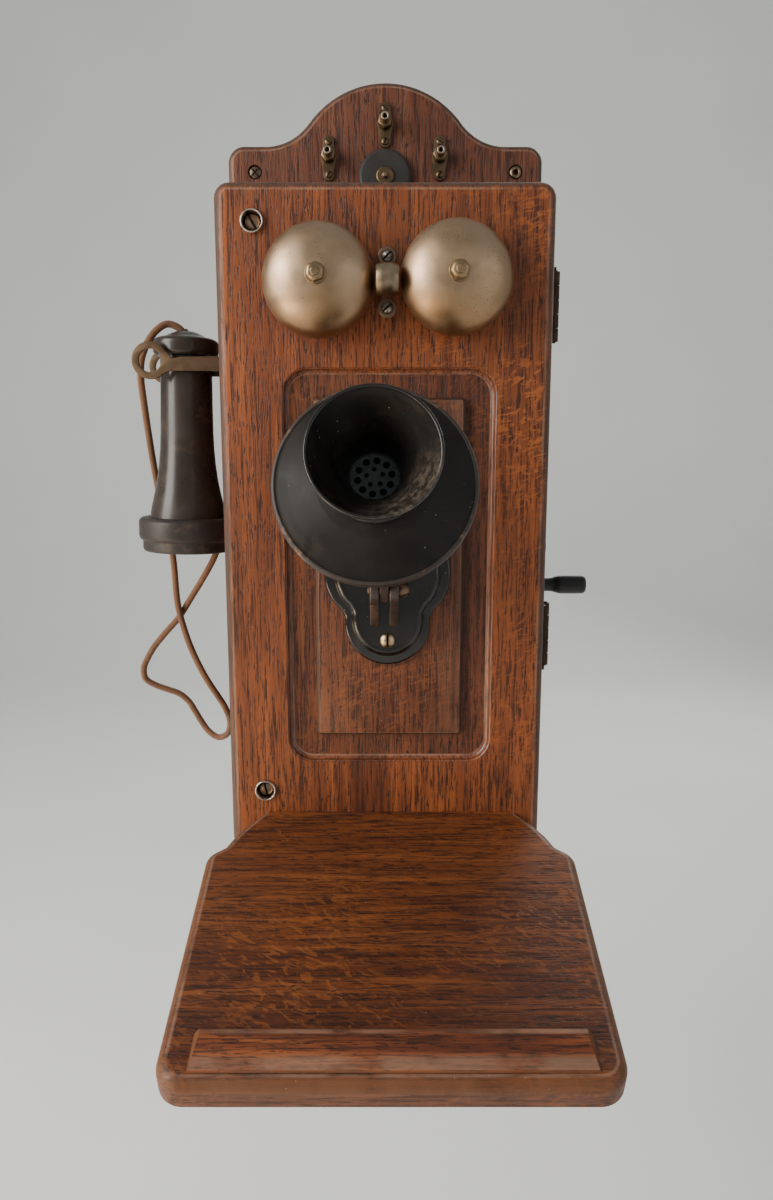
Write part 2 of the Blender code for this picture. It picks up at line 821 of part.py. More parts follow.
def make_clapper():
    """The rocking armature, and the rod that brings the hammer between the gongs."""
    half = HAMMER_LENGTH / 2
    barrel = [
        (0, half),
        (HAMMER_RADIUS - 0.0022, half),
        (HAMMER_RADIUS - 0.0008, half - 0.0010),
        (HAMMER_RADIUS, half * 0.35),
        (HAMMER_RADIUS, -half * 0.35),
        (HAMMER_RADIUS - 0.0008, -half + 0.0010),
        (HAMMER_RADIUS - 0.0022, -half),
        (0, -half),
    ]
    place = at(CLAPPER_X, HAMMER_Y, CLAPPER_Z, facing(TOWARD_RIGHT))
    clapper = turned("clapper", barrel, place, "brass", "clapper", 14)
    foot_z = CLAPPER_PIVOT_Z + 0.0030
    bend = 0.006
    route = [(CLAPPER_X, CLAPPER_PIVOT_Y, foot_z)]
    for turn in range(5):
        angle = math.radians(90 * turn / 4)
        y = CLAPPER_PIVOT_Y - bend * (1 - math.cos(angle))
        z = CLAPPER_Z - bend * (1 - math.sin(angle))
        route.append((CLAPPER_X, y, z))
    route.append((CLAPPER_X, HAMMER_Y + 0.004, CLAPPER_Z))
    hub = at(CLAPPER_X, CLAPPER_PIVOT_Y, CLAPPER_PIVOT_Z, FRONT)
    fuse(
        clapper,
        tool(solid_of_curve(tube(route, 0.0013)), Matrix.Identity(4)),
        tool(
            block(0.050, 0.010, 0.0036),
            at(CLAPPER_X, CLAPPER_PIVOT_Y, CLAPPER_PIVOT_Z + 0.0030),
        ),
        tool(rod(0.0042, 0.0102, 14), hub),
    )
    cut(clapper, tool(rod(CLAPPER_PIN + GAP, 0.030, 10), hub))


# The transmitter


def make_base():
    lower = base_outline()
    upper = [(x * 0.80, -0.030 + (z + 0.030) * 0.875) for x, z in lower]
    under = 0.0035
    front = DOOR_FRONT - GAP
    base = add(
        "transmitter_base",
        plate([lower], under),
        at(BASE_X, front - under / 2, 0, FRONT),
        "japan",
        "door",
    )
    soften(base, 0.0012, 1, lambda corner: corner.z > 0)
    rise = BASE_THICK - under + 0.001
    step_y = front - under - rise / 2 + 0.001
    step = tool(plate([upper], rise), at(BASE_X, step_y, 0, FRONT))
    soften(step, 0.0018, 1, lambda corner: corner.z > 0)
    fuse(base, step)

    # Fork cheeks in the side view: y, z
    root_y = front - BASE_THICK + 0.002
    cheek = [(root_y, -0.0620), (TILT_Y + 0.004, TILT_Z - 0.0115)]
    cheek += arc(TILT_Y, TILT_Z, 0.0085, 285, 90, 8)
    cheek += [(root_y, -0.0225)]
    for side in (-1, 1):
        place = at(TILT_X + side * 0.0058, 0, 0, SIDE)
        fuse(base, tool(plate([cheek], 0.0056), place))
    pivot = at(TILT_X, TILT_Y, TILT_Z, facing(TOWARD_RIGHT))
    cut(base, tool(rod(0.0025, 0.060, 12), pivot))
    cut(base, tool(rod(0.0024, 0.060, 12), at(BASE_X, front, -0.0711, FRONT)))


def make_base_screw():
    top = BASE_THICK + GAP
    profile = [
        (0, top + 0.0028),
        (0.0026, top + 0.0025),
        (0.0042, top + 0.0014),
        (0.0048, top + GAP),
        (0.0020, top + GAP),
        (0.0020, GAP * 2),
        (0, GAP * 2),
    ]
    place = at(BASE_X, DOOR_FRONT, -0.0711, FRONT)
    screw = turned("base_screw", profile, place, "brass", "door", 12)
    slot = block(0.0010, 0.0030, 0.014)
    cut(screw, tool(slot, at(BASE_X, DOOR_FRONT - top - 0.0026, -0.0711)))


def talk_place(forward):
    """A place on the transmitter's axis, measured forward from the rim's plane."""
    centre = RIM_CENTRE + TALK * forward
    return at(*centre, facing(TALK))


def make_transmitter():
    rim = talk_place(0)
    wall = 0.0015
    face = [
        (0.0203, 0.0124),
        (0.0220, 0.0122),
        (0.0360, 0.0072),
        (RIM_RADIUS - 0.0006, 0.0010),
        (RIM_RADIUS, 0.0),
        (RIM_RADIUS, -0.0030),
        (RIM_RADIUS - wall, -0.0030),
        (RIM_RADIUS - wall, -0.0008),
        (0.0360, 0.0072 - wall),
        (0.0203, 0.0124 - wall),
    ]
    turned("faceplate", face, rim, "black_paint", "transmitter", 28, closed=True)
    cup_radius = RIM_RADIUS - wall - GAP
    inner_back = -CUP_DEPTH + wall
    cup = [
        (0, inner_back),
        (0.0360, inner_back),
        (cup_radius - 0.0050, inner_back + 0.0060),
        (cup_radius - wall, -0.0032),
        (cup_radius, -0.0032),
        (cup_radius - 0.0035, -CUP_DEPTH + 0.0060),
        (0.0370, -CUP_DEPTH),
        (0, -CUP_DEPTH),
    ]
    turned("transmitter_cup", cup, rim, "black_paint", "transmitter", 26)
    seat = 0.0126
    foot = 0.0088
    recess = SCREEN_FORWARD + SCREEN_THICK / 2 + GAP
    mouth = [
        (0.0283, 0.0508),
        (0.0296, 0.0520),
        (0.0310, 0.0520),
        (MOUTH_RADIUS, 0.0505),
        (0.0312, 0.0480),
        (0.0274, 0.0410),
        (0.0240, 0.0330),
        (0.0218, 0.0240),
        (0.0212, 0.0180),
        (0.0232, seat + GAP),
        (0.0200, seat + GAP),
        (0.0200, foot),
        (SCREEN_RADIUS + GAP, foot),
        (SCREEN_RADIUS + GAP, recess),
        (THROAT_RADIUS, recess),
        (0.0135, 0.0200),
        (0.0180, 0.0310),
        (0.0238, 0.0420),
    ]
    turned("mouthpiece", mouth, rim, "rubber", "transmitter", 26, closed=True)
    button = [
        (0, -0.0022),
        (0.0480, -0.0022),
        (0.0480, -0.0030),
        (0.0170, -0.0032),
        (0.0170, -0.0200),
        (0.0040, -0.0204),
        (0.0040, -CUP_DEPTH + wall + GAP),
        (0, -CUP_DEPTH + wall + GAP),
    ]
    turned("carbon_button", button, rim, "carbon", "transmitter", 16)

    holes = [circle(0, 0, SCREEN_RADIUS, 18)]
    for count, ring, size in ((10, 0.0086, 0.0018), (5, 0.0042, 0.0012)):
        for number in range(count):
            turn = 2 * math.pi * (number + 0.3) / count
            holes.append(circle(ring * math.cos(turn), ring * math.sin(turn), size, 6))
    screen = plate(holes, SCREEN_THICK)
    place = talk_place(SCREEN_FORWARD)
    add("transmitter_screen", screen, place, "black_paint", "transmitter")


def make_transmitter_arm():
    """A flat arm from the pivot to a foot on the back of the cup, in the side view."""
    back = RIM_CENTRE - TALK * (CUP_DEPTH + GAP)
    along = Vector((0, math.sin(TRANSMITTER_TILT), math.cos(TRANSMITTER_TILT)))
    foot_thick = 0.005
    top = back + along * 0.012
    low = back - along * 0.022
    top_back = top - TALK * foot_thick
    low_back = low - TALK * foot_thick
    knee = low_back - TALK * 0.004 + along * 0.006
    outline = [
        (low.y, low.z),
        (top.y, top.z),
        (top_back.y, top_back.z),
        (knee.y, knee.z + 0.006),
    ]
    outline += arc(TILT_Y, TILT_Z, 0.0070, 60, -160, 8)
    outline += [(low_back.y + 0.0005, low_back.z + 0.001)]
    arm = add(
        "transmitter_arm",
        plate([outline], 0.0052),
        at(TILT_X, 0, 0, SIDE),
        "iron",
        "transmitter",
    )
    pivot = at(TILT_X, TILT_Y, TILT_Z, facing(TOWARD_RIGHT))
    cut(arm, tool(rod(0.0025, 0.060, 12), pivot))
    profile = [
        (0, 0.0150),
        (0.0036, 0.0150),
        (0.0044, 0.0142),
        (0.0044, 0.0090),
        (0.0022, 0.0090),
        (0.0022, -0.0102),
        (0, -0.0102),
    ]
    turned("pivot_screw", profile, pivot, "brass", "transmitter", 14)


# The receiver and its hook


def make_receiver():
    """Heights run from the middle of the neck, where the hook holds it."""
    neck = frames["receiver"][1]
    shell = [
        (0, 0.0062),
        (NECK_RADIUS, 0.0062),
        (0.0164, -0.0060),
        (0.0168, -0.0410),
        (0.0182, -0.0610),
        (0.0205, -0.0760),
        (0.0232, -0.0880),
        (0.0244, -0.0962),
        (0.0244, -0.1010),
        (0.0222, -0.1010),
        (0.0190, -0.0820),
        (0.0140, -0.0500),
        (0.0138, 0.0020),
        (0, 0.0020),
    ]
    turned("receiver_shell", shell, neck, "rubber", "receiver")
    cap_top = -0.0965
    ear = [
        (0.0247, cap_top),
        (0.0300, cap_top),
        (EAR_RADIUS, cap_top - 0.0018),
        (EAR_RADIUS, cap_top - 0.0120),
        (EAR_RADIUS - 0.0010, cap_top - 0.0140),
        (0.0292, cap_top - 0.0145),
        (0.0292, cap_top - 0.0205),
        (0.0280, cap_top - 0.0220),
        (0.0150, cap_top - 0.0175),
        (0.0055, cap_top - 0.0165),
        (0.0055, cap_top - 0.0130),
        (0.0262, cap_top - 0.0130),
        (0.0262, cap_top - 0.0030),
        (0.0247, cap_top - 0.0030),
    ]
    turned("ear_cap", ear, neck, "rubber", "receiver", 24, closed=True)
    crown = [
        (0, 0.0226),
        (0.0060, 0.0222),
        (0.0125, 0.0192),
        (0.0150, 0.0184),
        (0.0190, 0.0172),
        (0.0208, 0.0148),
        (0.0206, 0.0090),
        (0.0192, 0.0066),
        (0, 0.0066),
    ]
    top = turned("receiver_top", crown, neck, "rubber", "receiver", 22)
    start, after = (Vector(place) for place in cord_route()[:2])
    hole_depth, before = 0.020, 0.002
    leaving = at(*start, facing(after - start))
    hole = tool(
        rod(CORD_RADIUS + 0.0007, hole_depth, 12),
        leaving @ Matrix.Translation((0, 0, hole_depth / 2 - before)),
    )
    cut(top, hole)
    magnet = [
        (0, 0.0017),
        (0.0060, 0.0017),
        (0.0060, -0.0780),
        (0.0130, -0.0790),
        (0.0130, -0.0990),
        (0.0030, -0.0992),
        (0.0030, -0.1060),
        (0, -0.1060),
    ]
    turned("receiver_magnet", magnet, neck, "iron", "receiver", 16)


def cord_route():
    """From the top of the receiver, over the hook, down behind it and into the box."""
    return [
        (-0.1268, -0.0720, 0.1120),
        (-0.1298, -0.0720, 0.1180),
        (-0.1342, -0.0722, 0.1222),
        (-0.1395, -0.0732, 0.1228),
        (-0.1447, -0.0745, 0.1200),
        (-0.1490, -0.0755, 0.1148),
        (-0.1535, -0.0755, 0.1080),
        (-0.1570, -0.0735, 0.0990),
        (-0.1585, -0.0700, 0.0880),
        (-0.1590, -0.0620, 0.0700),
        (-0.1595, -0.0520, 0.0500),
        (-0.1595, -0.0420, 0.0290),
        (-0.1585, -0.0350, 0.0100),
        (-0.1555, -0.0315, -0.0120),
        (-0.1520, -0.0315, -0.0320),
        (-0.1505, -0.0340, -0.0480),
        (-0.1480, -0.0390, -0.0660),
        (-0.1425, -0.0440, -0.0840),
        (-0.1360, -0.0475, -0.1000),
        (-0.1275, -0.0490, -0.1170),
        (-0.1195, -0.0475, -0.1310),
        (-0.1145, -0.0435, -0.1430),
        (-0.1135, -0.0390, -0.1550),
        (-0.1175, -0.0350, -0.1635),
        (-0.1243, -0.0320, -0.1660),
        (-0.1311, -0.0295, -0.1625),
        (-0.1385, -0.0270, -0.1530),
        (-0.1440, -0.0260, -0.1435),
        (-0.1495, -0.0260, -0.1365),
        (-0.1565, -0.0270, -0.1325),
        (-0.1665, -0.0280, -0.1286),
        (-0.1740, -0.0290, -0.1245),
        (-0.1778, -0.0300, -0.1185),
        (-0.1752, -0.0310, -0.1095),
        (-0.1690, -0.0320, -0.0985),
        (-0.1590, -0.0335, -0.0865),
        (-0.1490, -0.0345, -0.0755),
        (-0.1400, -0.0365, -0.0620),
        (-0.1305, -0.0385, -0.0475),
        (-0.1220, -0.0405, -0.0335),
        (-0.1155, -0.0425, -0.0200),
        (-0.1095, -0.0440, -0.0090),
        (-0.1040, -0.0449, -0.0038),
        (-0.0990, -0.0450, -0.0030),
        (-0.0940, -0.0450, -0.0030),
    ]


def make_cord():
    name = "receiver_cord"
    run = tube(catmull(cord_route(), CORD_POINTS), CORD_RADIUS)
    add(name, solid_of_curve(run), Matrix.Identity(4), "cloth", "receiver")


def make_hook():
    """A lever through the box's side that forks into two ringed prongs."""
    height = STRAP_TOP - STRAP_BOTTOM
    middle = (STRAP_TOP + STRAP_BOTTOM) / 2
    cross_x = -0.1035
    tail_x = -0.0600
    lever = add(
        "hook_lever",
        block(tail_x - cross_x, 0.0040, height),
        at((tail_x + cross_x) / 2, RECEIVER_Y, middle),
        "bronze",
        "hook",
    )
    cross = block(0.0028, 2 * PRONG_Y + PRONG_THICK, height)
    fuse(lever, tool(cross, at(cross_x + 0.0014, RECEIVER_Y, middle)))
    fuse(lever, tool(rod(0.0018, 0.0130, 12), at(HOOK_X, RECEIVER_Y, middle, FRONT)))
    root = cross_x + 0.0022
    waist = (RING_X + 0.0140, STRAP_TOP - 0.0012)
    outline = [(root, STRAP_BOTTOM), (root, STRAP_TOP), waist]
    outline += arc(RING_X, RING_Z, RING_OUTER, 35, 315, 12)
    outline += [(waist[0] - 0.002, STRAP_BOTTOM)]
    hole = circle(RING_X, RING_Z, RING_HOLE, 16)
    for side in (-1, 1):
        prong = plate([outline, hole], PRONG_THICK)
        fuse(lever, tool(prong, at(0, RECEIVER_Y + side * PRONG_Y, 0, FRONT)))


def make_hook_switch():
    """The bracket behind the slot: the lever's cheeks, and the contact springs above."""
    inner = -BOX_HALF + BOX_WALL + GAP
    thick = 0.0018
    pivot_z = (STRAP_TOP + STRAP_BOTTOM) / 2
    flange = rounded(0.030, 0.062, 0.003, 2, RECEIVER_Y, 0.106)
    slot = rounded(0.0080, 0.030, 0.001, 1, RECEIVER_Y, 0.0985)
    bracket = add(
        "hook_switch", plate([flange, slot], thick), at(inner + thick / 2, 0, 0, SIDE), "steel"
    )
    cheek_reach = HOOK_X + 0.006 - inner
    for side in (-1, 1):
        y = RECEIVER_Y + side * 0.0055
        mesh = block(cheek_reach, 0.0020, 0.016)
        place = at(inner + cheek_reach / 2 + 0.0005, y, pivot_z)
        fuse(bracket, tool(mesh, place))
    cut(bracket, tool(rod(0.0021, 0.040, 12), at(HOOK_X, RECEIVER_Y, pivot_z, FRONT)))
    block_z = 0.126
    stack_x = inner + thick + 0.0055
    fuse(bracket, tool(block(0.012, 0.014, 0.018), at(stack_x, RECEIVER_Y, block_z)))
    for number in range(3):
        leaf = tool(block(0.032, 0.006, 0.0007), at(stack_x, RECEIVER_Y, block_z))
        leaf.matrix_basis.translation += Vector((0.020, 0, 0.0055 * (number - 1)))
        fuse(bracket, leaf)


# The crank and the magneto


def make_crank():
    away_y, away_z = ARM_VECTOR
    arm_length = math.hypot(away_y, away_z)
    angle = math.degrees(math.atan2(away_z, away_y))
    outline = arc(0, 0, 0.0075, angle + 90, angle + 270, 8)
    outline += arc(away_y, away_z, 0.0052, angle - 90, angle + 90, 6)
    place = at(ARM_X + ARM_THICK / 2, CRANK_Y, CRANK_Z, SIDE)
    arm = add("crank_arm", plate([outline], ARM_THICK), place, "steel", "crank")
    inner_end = GEAR_X - 0.060
    outer_end = ARM_X + 0.001
    shaft = rod(SHAFT_RADIUS, outer_end - inner_end, 16)
    shaft_place = at((outer_end + inner_end) / 2, CRANK_Y, CRANK_Z, facing(TOWARD_RIGHT))
    fuse(arm, tool(shaft, shaft_place))
    hand_y, hand_z = CRANK_Y + away_y, CRANK_Z + away_z
    pin_end = 0.1385
    pin = rod(0.0020, pin_end - ARM_X - 0.001, 12)
    pin_place = at((pin_end + ARM_X + 0.001) / 2, hand_y, hand_z, facing(TOWARD_RIGHT))
    fuse(arm, tool(pin, pin_place))

    start = ARM_X + ARM_THICK + GAP
    grip = [
        (0.0023, 0.1392),
        (0.0040, 0.1416),
        (0.0058, 0.1414),
        (GRIP_RADIUS, 0.1400),
        (GRIP_RADIUS, 0.1230),
        (0.0062, 0.1216),
        (0.0050, 0.1190),
        (0.0048, 0.1140),
        (0.0052, start),
        (0.0023, start),
    ]
    place = at(0, hand_y, hand_z, facing(TOWARD_RIGHT))
    turned("crank_handle", grip, place, "rubber", "crank_grip", 14, closed=True)


def make_crank_bearing():
    inner = BOX_HALF - BOX_WALL - 0.002
    hole = SHAFT_RADIUS + 0.0003
    profile = [
        (hole, BOX_HALF + 0.0042),
        (0.0072, BOX_HALF + 0.0040),
        (0.0090, BOX_HALF + 0.0024),
        (0.0090, BOX_HALF + GAP),
        (0.0063, BOX_HALF + GAP),
        (0.0063, inner),
        (hole, inner),
    ]
    place = at(0, CRANK_Y, CRANK_Z, facing(TOWARD_RIGHT))
    turned("crank_bearing", profile, place, "brass", steps=14, closed=True)


def make_gears():
    wheel = gear_outline(GEAR_TEETH, GEAR_MODULE, 0.00012)
    bore = circle(0, 0, SHAFT_RADIUS + GAP, 16)
    place = at(GEAR_X, CRANK_Y, CRANK_Z, SIDE)
    add("drive_gear", plate([wheel, bore], GEAR_WIDTH), place, "brass", "crank")
    pinion = gear_outline(PINION_TEETH, GEAR_MODULE, 0.00012)
    phase = Matrix.Rotation(math.pi / PINION_TEETH, 4, "Z")
    place = at(GEAR_X, CRANK_Y, ARMATURE_Z, SIDE @ phase)
    small = add("magneto_armature", plate([pinion], GEAR_WIDTH), place, "steel", "armature")
    spindle = rod(0.0026, 0.076, 12)
    fuse(small, tool(spindle, at(0.0450, CRANK_Y, ARMATURE_Z, facing(TOWARD_RIGHT))))
    core = rod(0.0115, 0.046, 18)
    fuse(small, tool(core, at(0.0400, CRANK_Y, ARMATURE_Z, facing(TOWARD_RIGHT))))


def make_magneto():
    leg_out, leg_in = 0.0265, 0.0175
    spring_z = CRANK_Z + 0.006
    foot_z = ARMATURE_Z - 0.0165
    arch = arc(0, 0, leg_out, 0, 180, 12)
    under = arc(0, 0, leg_in, 180, 0, 10)
    drop = foot_z - spring_z
    outline = [(leg_out, drop), *arch, (-leg_out, drop), (-leg_in, drop), *under, (leg_in, drop)]
    place = at(MAGNETO_X, CRANK_Y, spring_z, SIDE)
    add("magneto_magnets", plate([outline], 0.0440), place, "iron")

    # Pole frame between the legs, on a plate that reaches back to the board
    width = 2 * (leg_in - GAP)
    height = 0.0330
    bore_r = 0.0120
    top = height / 2
    block_outline = [(-width / 2, -top), (width / 2, -top), (width / 2, top)]
    block_outline += [(0.0035, top), (0.0035, 0.0114)]
    block_outline += arc(0, 0, bore_r, 73, -253, 18)
    block_outline += [(-0.0035, 0.0114), (-0.0035, top), (-width / 2, top)]
    place = at(0.0402, CRANK_Y, ARMATURE_Z, SIDE)
    frame = add("magneto_frame", plate([block_outline], 0.0480), place, "iron")
    reach = BOX_BACK - GAP - (CRANK_Y - 0.028)
    base = block(0.0500, reach, 0.0035)
    base_place = at(0.0402, BOX_BACK - GAP - reach / 2, foot_z - 0.0020)
    fuse(frame, tool(base, base_place))
    stem = block(0.0480, 0.0300, 0.0035)
    fuse(frame, tool(stem, at(0.0402, CRANK_Y, foot_z)))
    lug = block(0.0500, 0.0035, 0.0200)
    fuse(frame, tool(lug, at(0.0402, BOX_BACK - GAP - 0.00175, foot_z - 0.0100)))


def make_induction_coil():
    """A long winding between square ends, on the backboard."""
    z, x, length = -0.150, -0.036, 0.066
    y = BOX_BACK - GAP - 0.013
    coil = add(
        "induction_coil",
        rod(0.0105, length - 0.006, 20),
        at(x, y, z, facing(TOWARD_RIGHT)),
        "winding",
    )
    for side in (-1, 1):
        end = block(0.006, 0.026, 0.028)
        fuse(coil, tool(end, at(x + side * (length / 2 - 0.003), y, z)))


def make_condenser():
    size = (0.044, 0.018, 0.050)
    y = BOX_BACK - GAP - size[1] / 2
    can = add("condenser", block(*size), at(0.052, y, -0.150), "steel")
    soften(can, 0.0015, 1)
    terminal = rod(0.0022, 0.008, 10)
    for side in (-1, 1):
        fuse(can, tool(terminal, at(0.052 + side * 0.010, y, -0.150 + size[2] / 2 + 0.003)))


# The writing shelf


def shelf_place(x=0.0, along=0.0, above=0.0):
    """A place in the shelf's frame: local y along the slope, z out of its top."""
    turn = Matrix.Rotation(math.pi, 4, "Z")
    slope = Matrix.Rotation(SHELF_SLOPE, 4, "X")
    return at(0, DOOR_FRONT, SHELF_TOP_Z, slope) @ turn @ Matrix.Translation((-x, along, above))


def shelf_outline():
    back = 0.0865
    half = SHELF_HALF
    right = [(back - 0.003, -0.008), (back - 0.003, 0.001)]
    right += [(back + 0.0105, 0.020), (half - 0.005, 0.0315)]
    right += arc(half - 0.005, 0.0365, 0.005, -60, 0, 3)
    right += arc(half - 0.014, SHELF_LENGTH - 0.014, 0.014, 0, 90, 5)
    return right + [(-x, y) for x, y in reversed(right)]


def make_shelf():
    place = shelf_place(SHELF_X, 0.0, -SHELF_THICK / 2)
    shelf = add("shelf_board", plate([shelf_outline()], SHELF_THICK), place, "oak", "door")
    soften(shelf, 0.0065, 2, lambda corner: corner.y > 0.010)
    wall = block(0.30, 0.060, 0.20)
    cut(shelf, tool(wall, at(0, DOOR_FRONT - GAP + 0.030, SHELF_TOP_Z)))

    # A low strip with a steep back and a sloping front, in its side view
    rise = 0.0042
    strip = [(0.1560, GAP), (0.1560, rise), (0.1592, rise), (0.1728, 0.0014), (0.1736, GAP)]
    ledge_half = 0.1000
    ledge = plate([strip], 2 * ledge_half)
    ledge_x = SHELF_X + 0.0010
    made = add("shelf_ledge", ledge, shelf_place(ledge_x) @ SIDE, "oak", "door")
    for side in (-1, 1):
        end = tool(
            block(0.010, 0.050, 0.030),
            shelf_place(ledge_x + side * (ledge_half + 0.0025), 0.165, 0.0)
            @ Matrix.Rotation(side * math.radians(38), 4, "Y"),
        )
        cut(made, end)


def under_shelf(along):
    """The y and z just under the shelf, this far down its slope."""
    under = SHELF_THICK + GAP
    cos, sin = math.cos(SHELF_SLOPE), math.sin(SHELF_SLOPE)
    return DOOR_FRONT - along * cos + under * sin, SHELF_TOP_Z - along * sin - under * cos


def make_shelf_brackets():
    """A triangular wooden bracket under each side of the shelf, in the side view."""
    front = DOOR_FRONT - GAP
    root = under_shelf(0.006 + SHELF_THICK * math.tan(SHELF_SLOPE))
    tip = under_shelf(0.105)
    outline = [(front, root[1]), root, tip, (tip[0] + 0.004, tip[1] - 0.005)]
    outline += [(front - 0.030, -0.2445), (front, -0.2460)]
    for name, x in (("left", -0.060), ("right", 0.066)):
        place = at(x, 0, 0, SIDE)
        add(f"shelf_bracket_{name}", plate([outline], 0.012), place, "oak", "door")


body("door", at(HINGE_X, HINGE_Y, 0))
for lock, lock_z in LOCK_ZS.items():
    body(f"lock_{lock}", at(LOCK_X, DOOR_FRONT, lock_z))
body("clapper", at(CLAPPER_X, CLAPPER_PIVOT_Y, CLAPPER_PIVOT_Z))
body("transmitter", at(TILT_X, TILT_Y, TILT_Z))
body("receiver", at(RECEIVER_X, RECEIVER_Y, NECK_Z, Matrix.Rotation(RECEIVER_LEAN, 4, "Y")))
body("hook", at(HOOK_X, RECEIVER_Y, (STRAP_TOP + STRAP_BOTTOM) / 2))
body("crank", at(ARM_X, CRANK_Y, CRANK_Z))
body("crank_grip", at(ARM_X, CRANK_Y + ARM_VECTOR[0], CRANK_Z + ARM_VECTOR[1]))
body("armature", at(GEAR_X, CRANK_Y, ARMATURE_Z))

make_backboard()
make_wall_screws()
make_box()
make_cord_bushing()
for post_name, post_x, post_z in (
    ("left", -0.0386, 0.2392),
    ("centre", -0.0002, 0.2602),
    ("right", 0.0370, 0.2392),
):
    make_binding_post(post_name, post_x, post_z)
make_arrester()
make_door()
make_hinges()
make_lock_screws()
make_gongs()
make_ringer()
make_clapper()
make_base()
make_base_screw()
make_transmitter()
make_transmitter_arm()
make_receiver()
make_cord()
make_hook()
make_hook_switch()
make_crank()
make_crank_bearing()
make_gears()
make_magneto()
make_induction_coil()
make_condenser()
make_shelf()
make_shelf_brackets()
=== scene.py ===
"""The looks of an antique wall telephone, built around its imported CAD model.

Metres, +Z up. The telephone's front faces -Y and its back lies on the plane Y = 0.
"""

import json
import math

import bmesh
import bpy
from mathutils import Matrix, Vector


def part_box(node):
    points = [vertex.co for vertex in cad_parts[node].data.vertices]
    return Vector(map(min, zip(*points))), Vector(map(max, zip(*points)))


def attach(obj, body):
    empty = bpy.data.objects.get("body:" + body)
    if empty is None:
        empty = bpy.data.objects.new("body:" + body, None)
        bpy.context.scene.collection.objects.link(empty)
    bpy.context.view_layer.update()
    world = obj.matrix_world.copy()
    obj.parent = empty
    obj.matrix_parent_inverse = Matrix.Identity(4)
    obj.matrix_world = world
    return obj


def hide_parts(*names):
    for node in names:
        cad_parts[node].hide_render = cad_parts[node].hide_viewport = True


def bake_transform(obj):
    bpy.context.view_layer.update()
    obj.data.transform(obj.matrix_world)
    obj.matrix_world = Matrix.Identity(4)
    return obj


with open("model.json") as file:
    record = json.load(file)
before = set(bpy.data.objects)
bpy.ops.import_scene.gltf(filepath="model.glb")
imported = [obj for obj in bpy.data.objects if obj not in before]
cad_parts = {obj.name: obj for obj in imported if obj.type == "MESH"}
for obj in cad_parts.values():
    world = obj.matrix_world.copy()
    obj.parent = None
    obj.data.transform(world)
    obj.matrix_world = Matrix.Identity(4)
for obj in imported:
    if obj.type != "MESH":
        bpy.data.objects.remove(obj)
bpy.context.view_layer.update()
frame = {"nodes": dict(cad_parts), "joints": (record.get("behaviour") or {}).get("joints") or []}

FRONT = Matrix.Rotation(math.radians(90), 4, "X")
SIDE = Matrix(((0, 0, 1, 0), (1, 0, 0, 0), (0, 1, 0, 0), (0, 0, 0, 1)))
JOINTS = {joint["name"]: joint for joint in frame["joints"]}


# Camera, light and floor


def make_camera():
    data = bpy.data.cameras.new("camera")
    data.sensor_width = 36.0
    data.lens = 25.98
    camera = bpy.data.objects.new("camera", data)
    camera.location = (0.0008, -0.648, 0.042)
    camera.rotation_euler = (math.radians(90 - 9.67), 0.0, 0.0)
    bpy.context.scene.collection.objects.link(camera)
    bpy.context.scene.camera = camera


def make_light(name, place, aim, size, watts, colour):
    data = bpy.data.lights.new(name, "AREA")
    data.shape = "RECTANGLE"
    data.size, data.size_y = size
    data.energy = watts
    data.color = colour
    light = bpy.data.objects.new(name, data)
    light.location = place
    light.rotation_euler = (Vector(aim) - Vector(place)).to_track_quat("-Z", "Y").to_euler()
    bpy.context.scene.collection.objects.link(light)


def make_lights():
    middle = (0.0, -0.1, 0.0)
    make_light("window", (-1.35, -0.85, 0.5), middle, (0.8, 1.3), 36.0, (1.0, 0.97, 0.92))
    make_light("fill", (1.5, -1.4, 0.3), middle, (1.4, 1.4), 5.0, (0.92, 0.95, 1.0))
    make_light("low_warm", (-0.9, -0.7, -0.55), middle, (0.6, 0.4), 6.0, (1.0, 0.72, 0.42))
    make_light("behind", (0.8, 1.6, 0.9), middle, (1.2, 1.2), 16.0, (1.0, 0.99, 0.96))
    world = bpy.data.worlds.new("room")
    bpy.context.scene.world = world
    world.use_nodes = True
    world.node_tree.nodes["Background"].inputs["Color"].default_value = (0.74, 0.78, 0.78, 1.0)
    world.node_tree.nodes["Background"].inputs["Strength"].default_value = 0.5


def make_stage():
    """A pale floor that rises far behind into a wall, with a wide curve between."""
    floor_z, wall_y, bend, half = -0.62, 2.6, 0.8, 6.0
    line = [(-4.0, floor_z)]
    for step in range(13):
        turn = math.radians(90 * step / 12)
        y = wall_y - bend + bend * math.sin(turn)
        line.append((y, floor_z + bend - bend * math.cos(turn)))
    line.append((wall_y, 4.0))
    shape = bmesh.new()
    rows = [[shape.verts.new((side * half, y, z)) for side in (-1, 1)] for y, z in line]
    for (a, b), (c, d) in zip(rows, rows[1:]):
        shape.faces.new((a, b, d, c))
    stage = new_object("floor", shape)
    graph = Graph("pale_floor")
    tone = graph.ramp(graph.noise(3.0, 4), (0.35, (0.9, 0.9, 0.875)), (0.7, (0.93, 0.93, 0.905)))
    graph.set(colour=tone, rough=0.9, normal=graph.bump(graph.noise(240.0, 3), 0.08, 0.001))
    stage.data.materials.append(graph.material)
    stage.data.shade_smooth()


# Material graphs


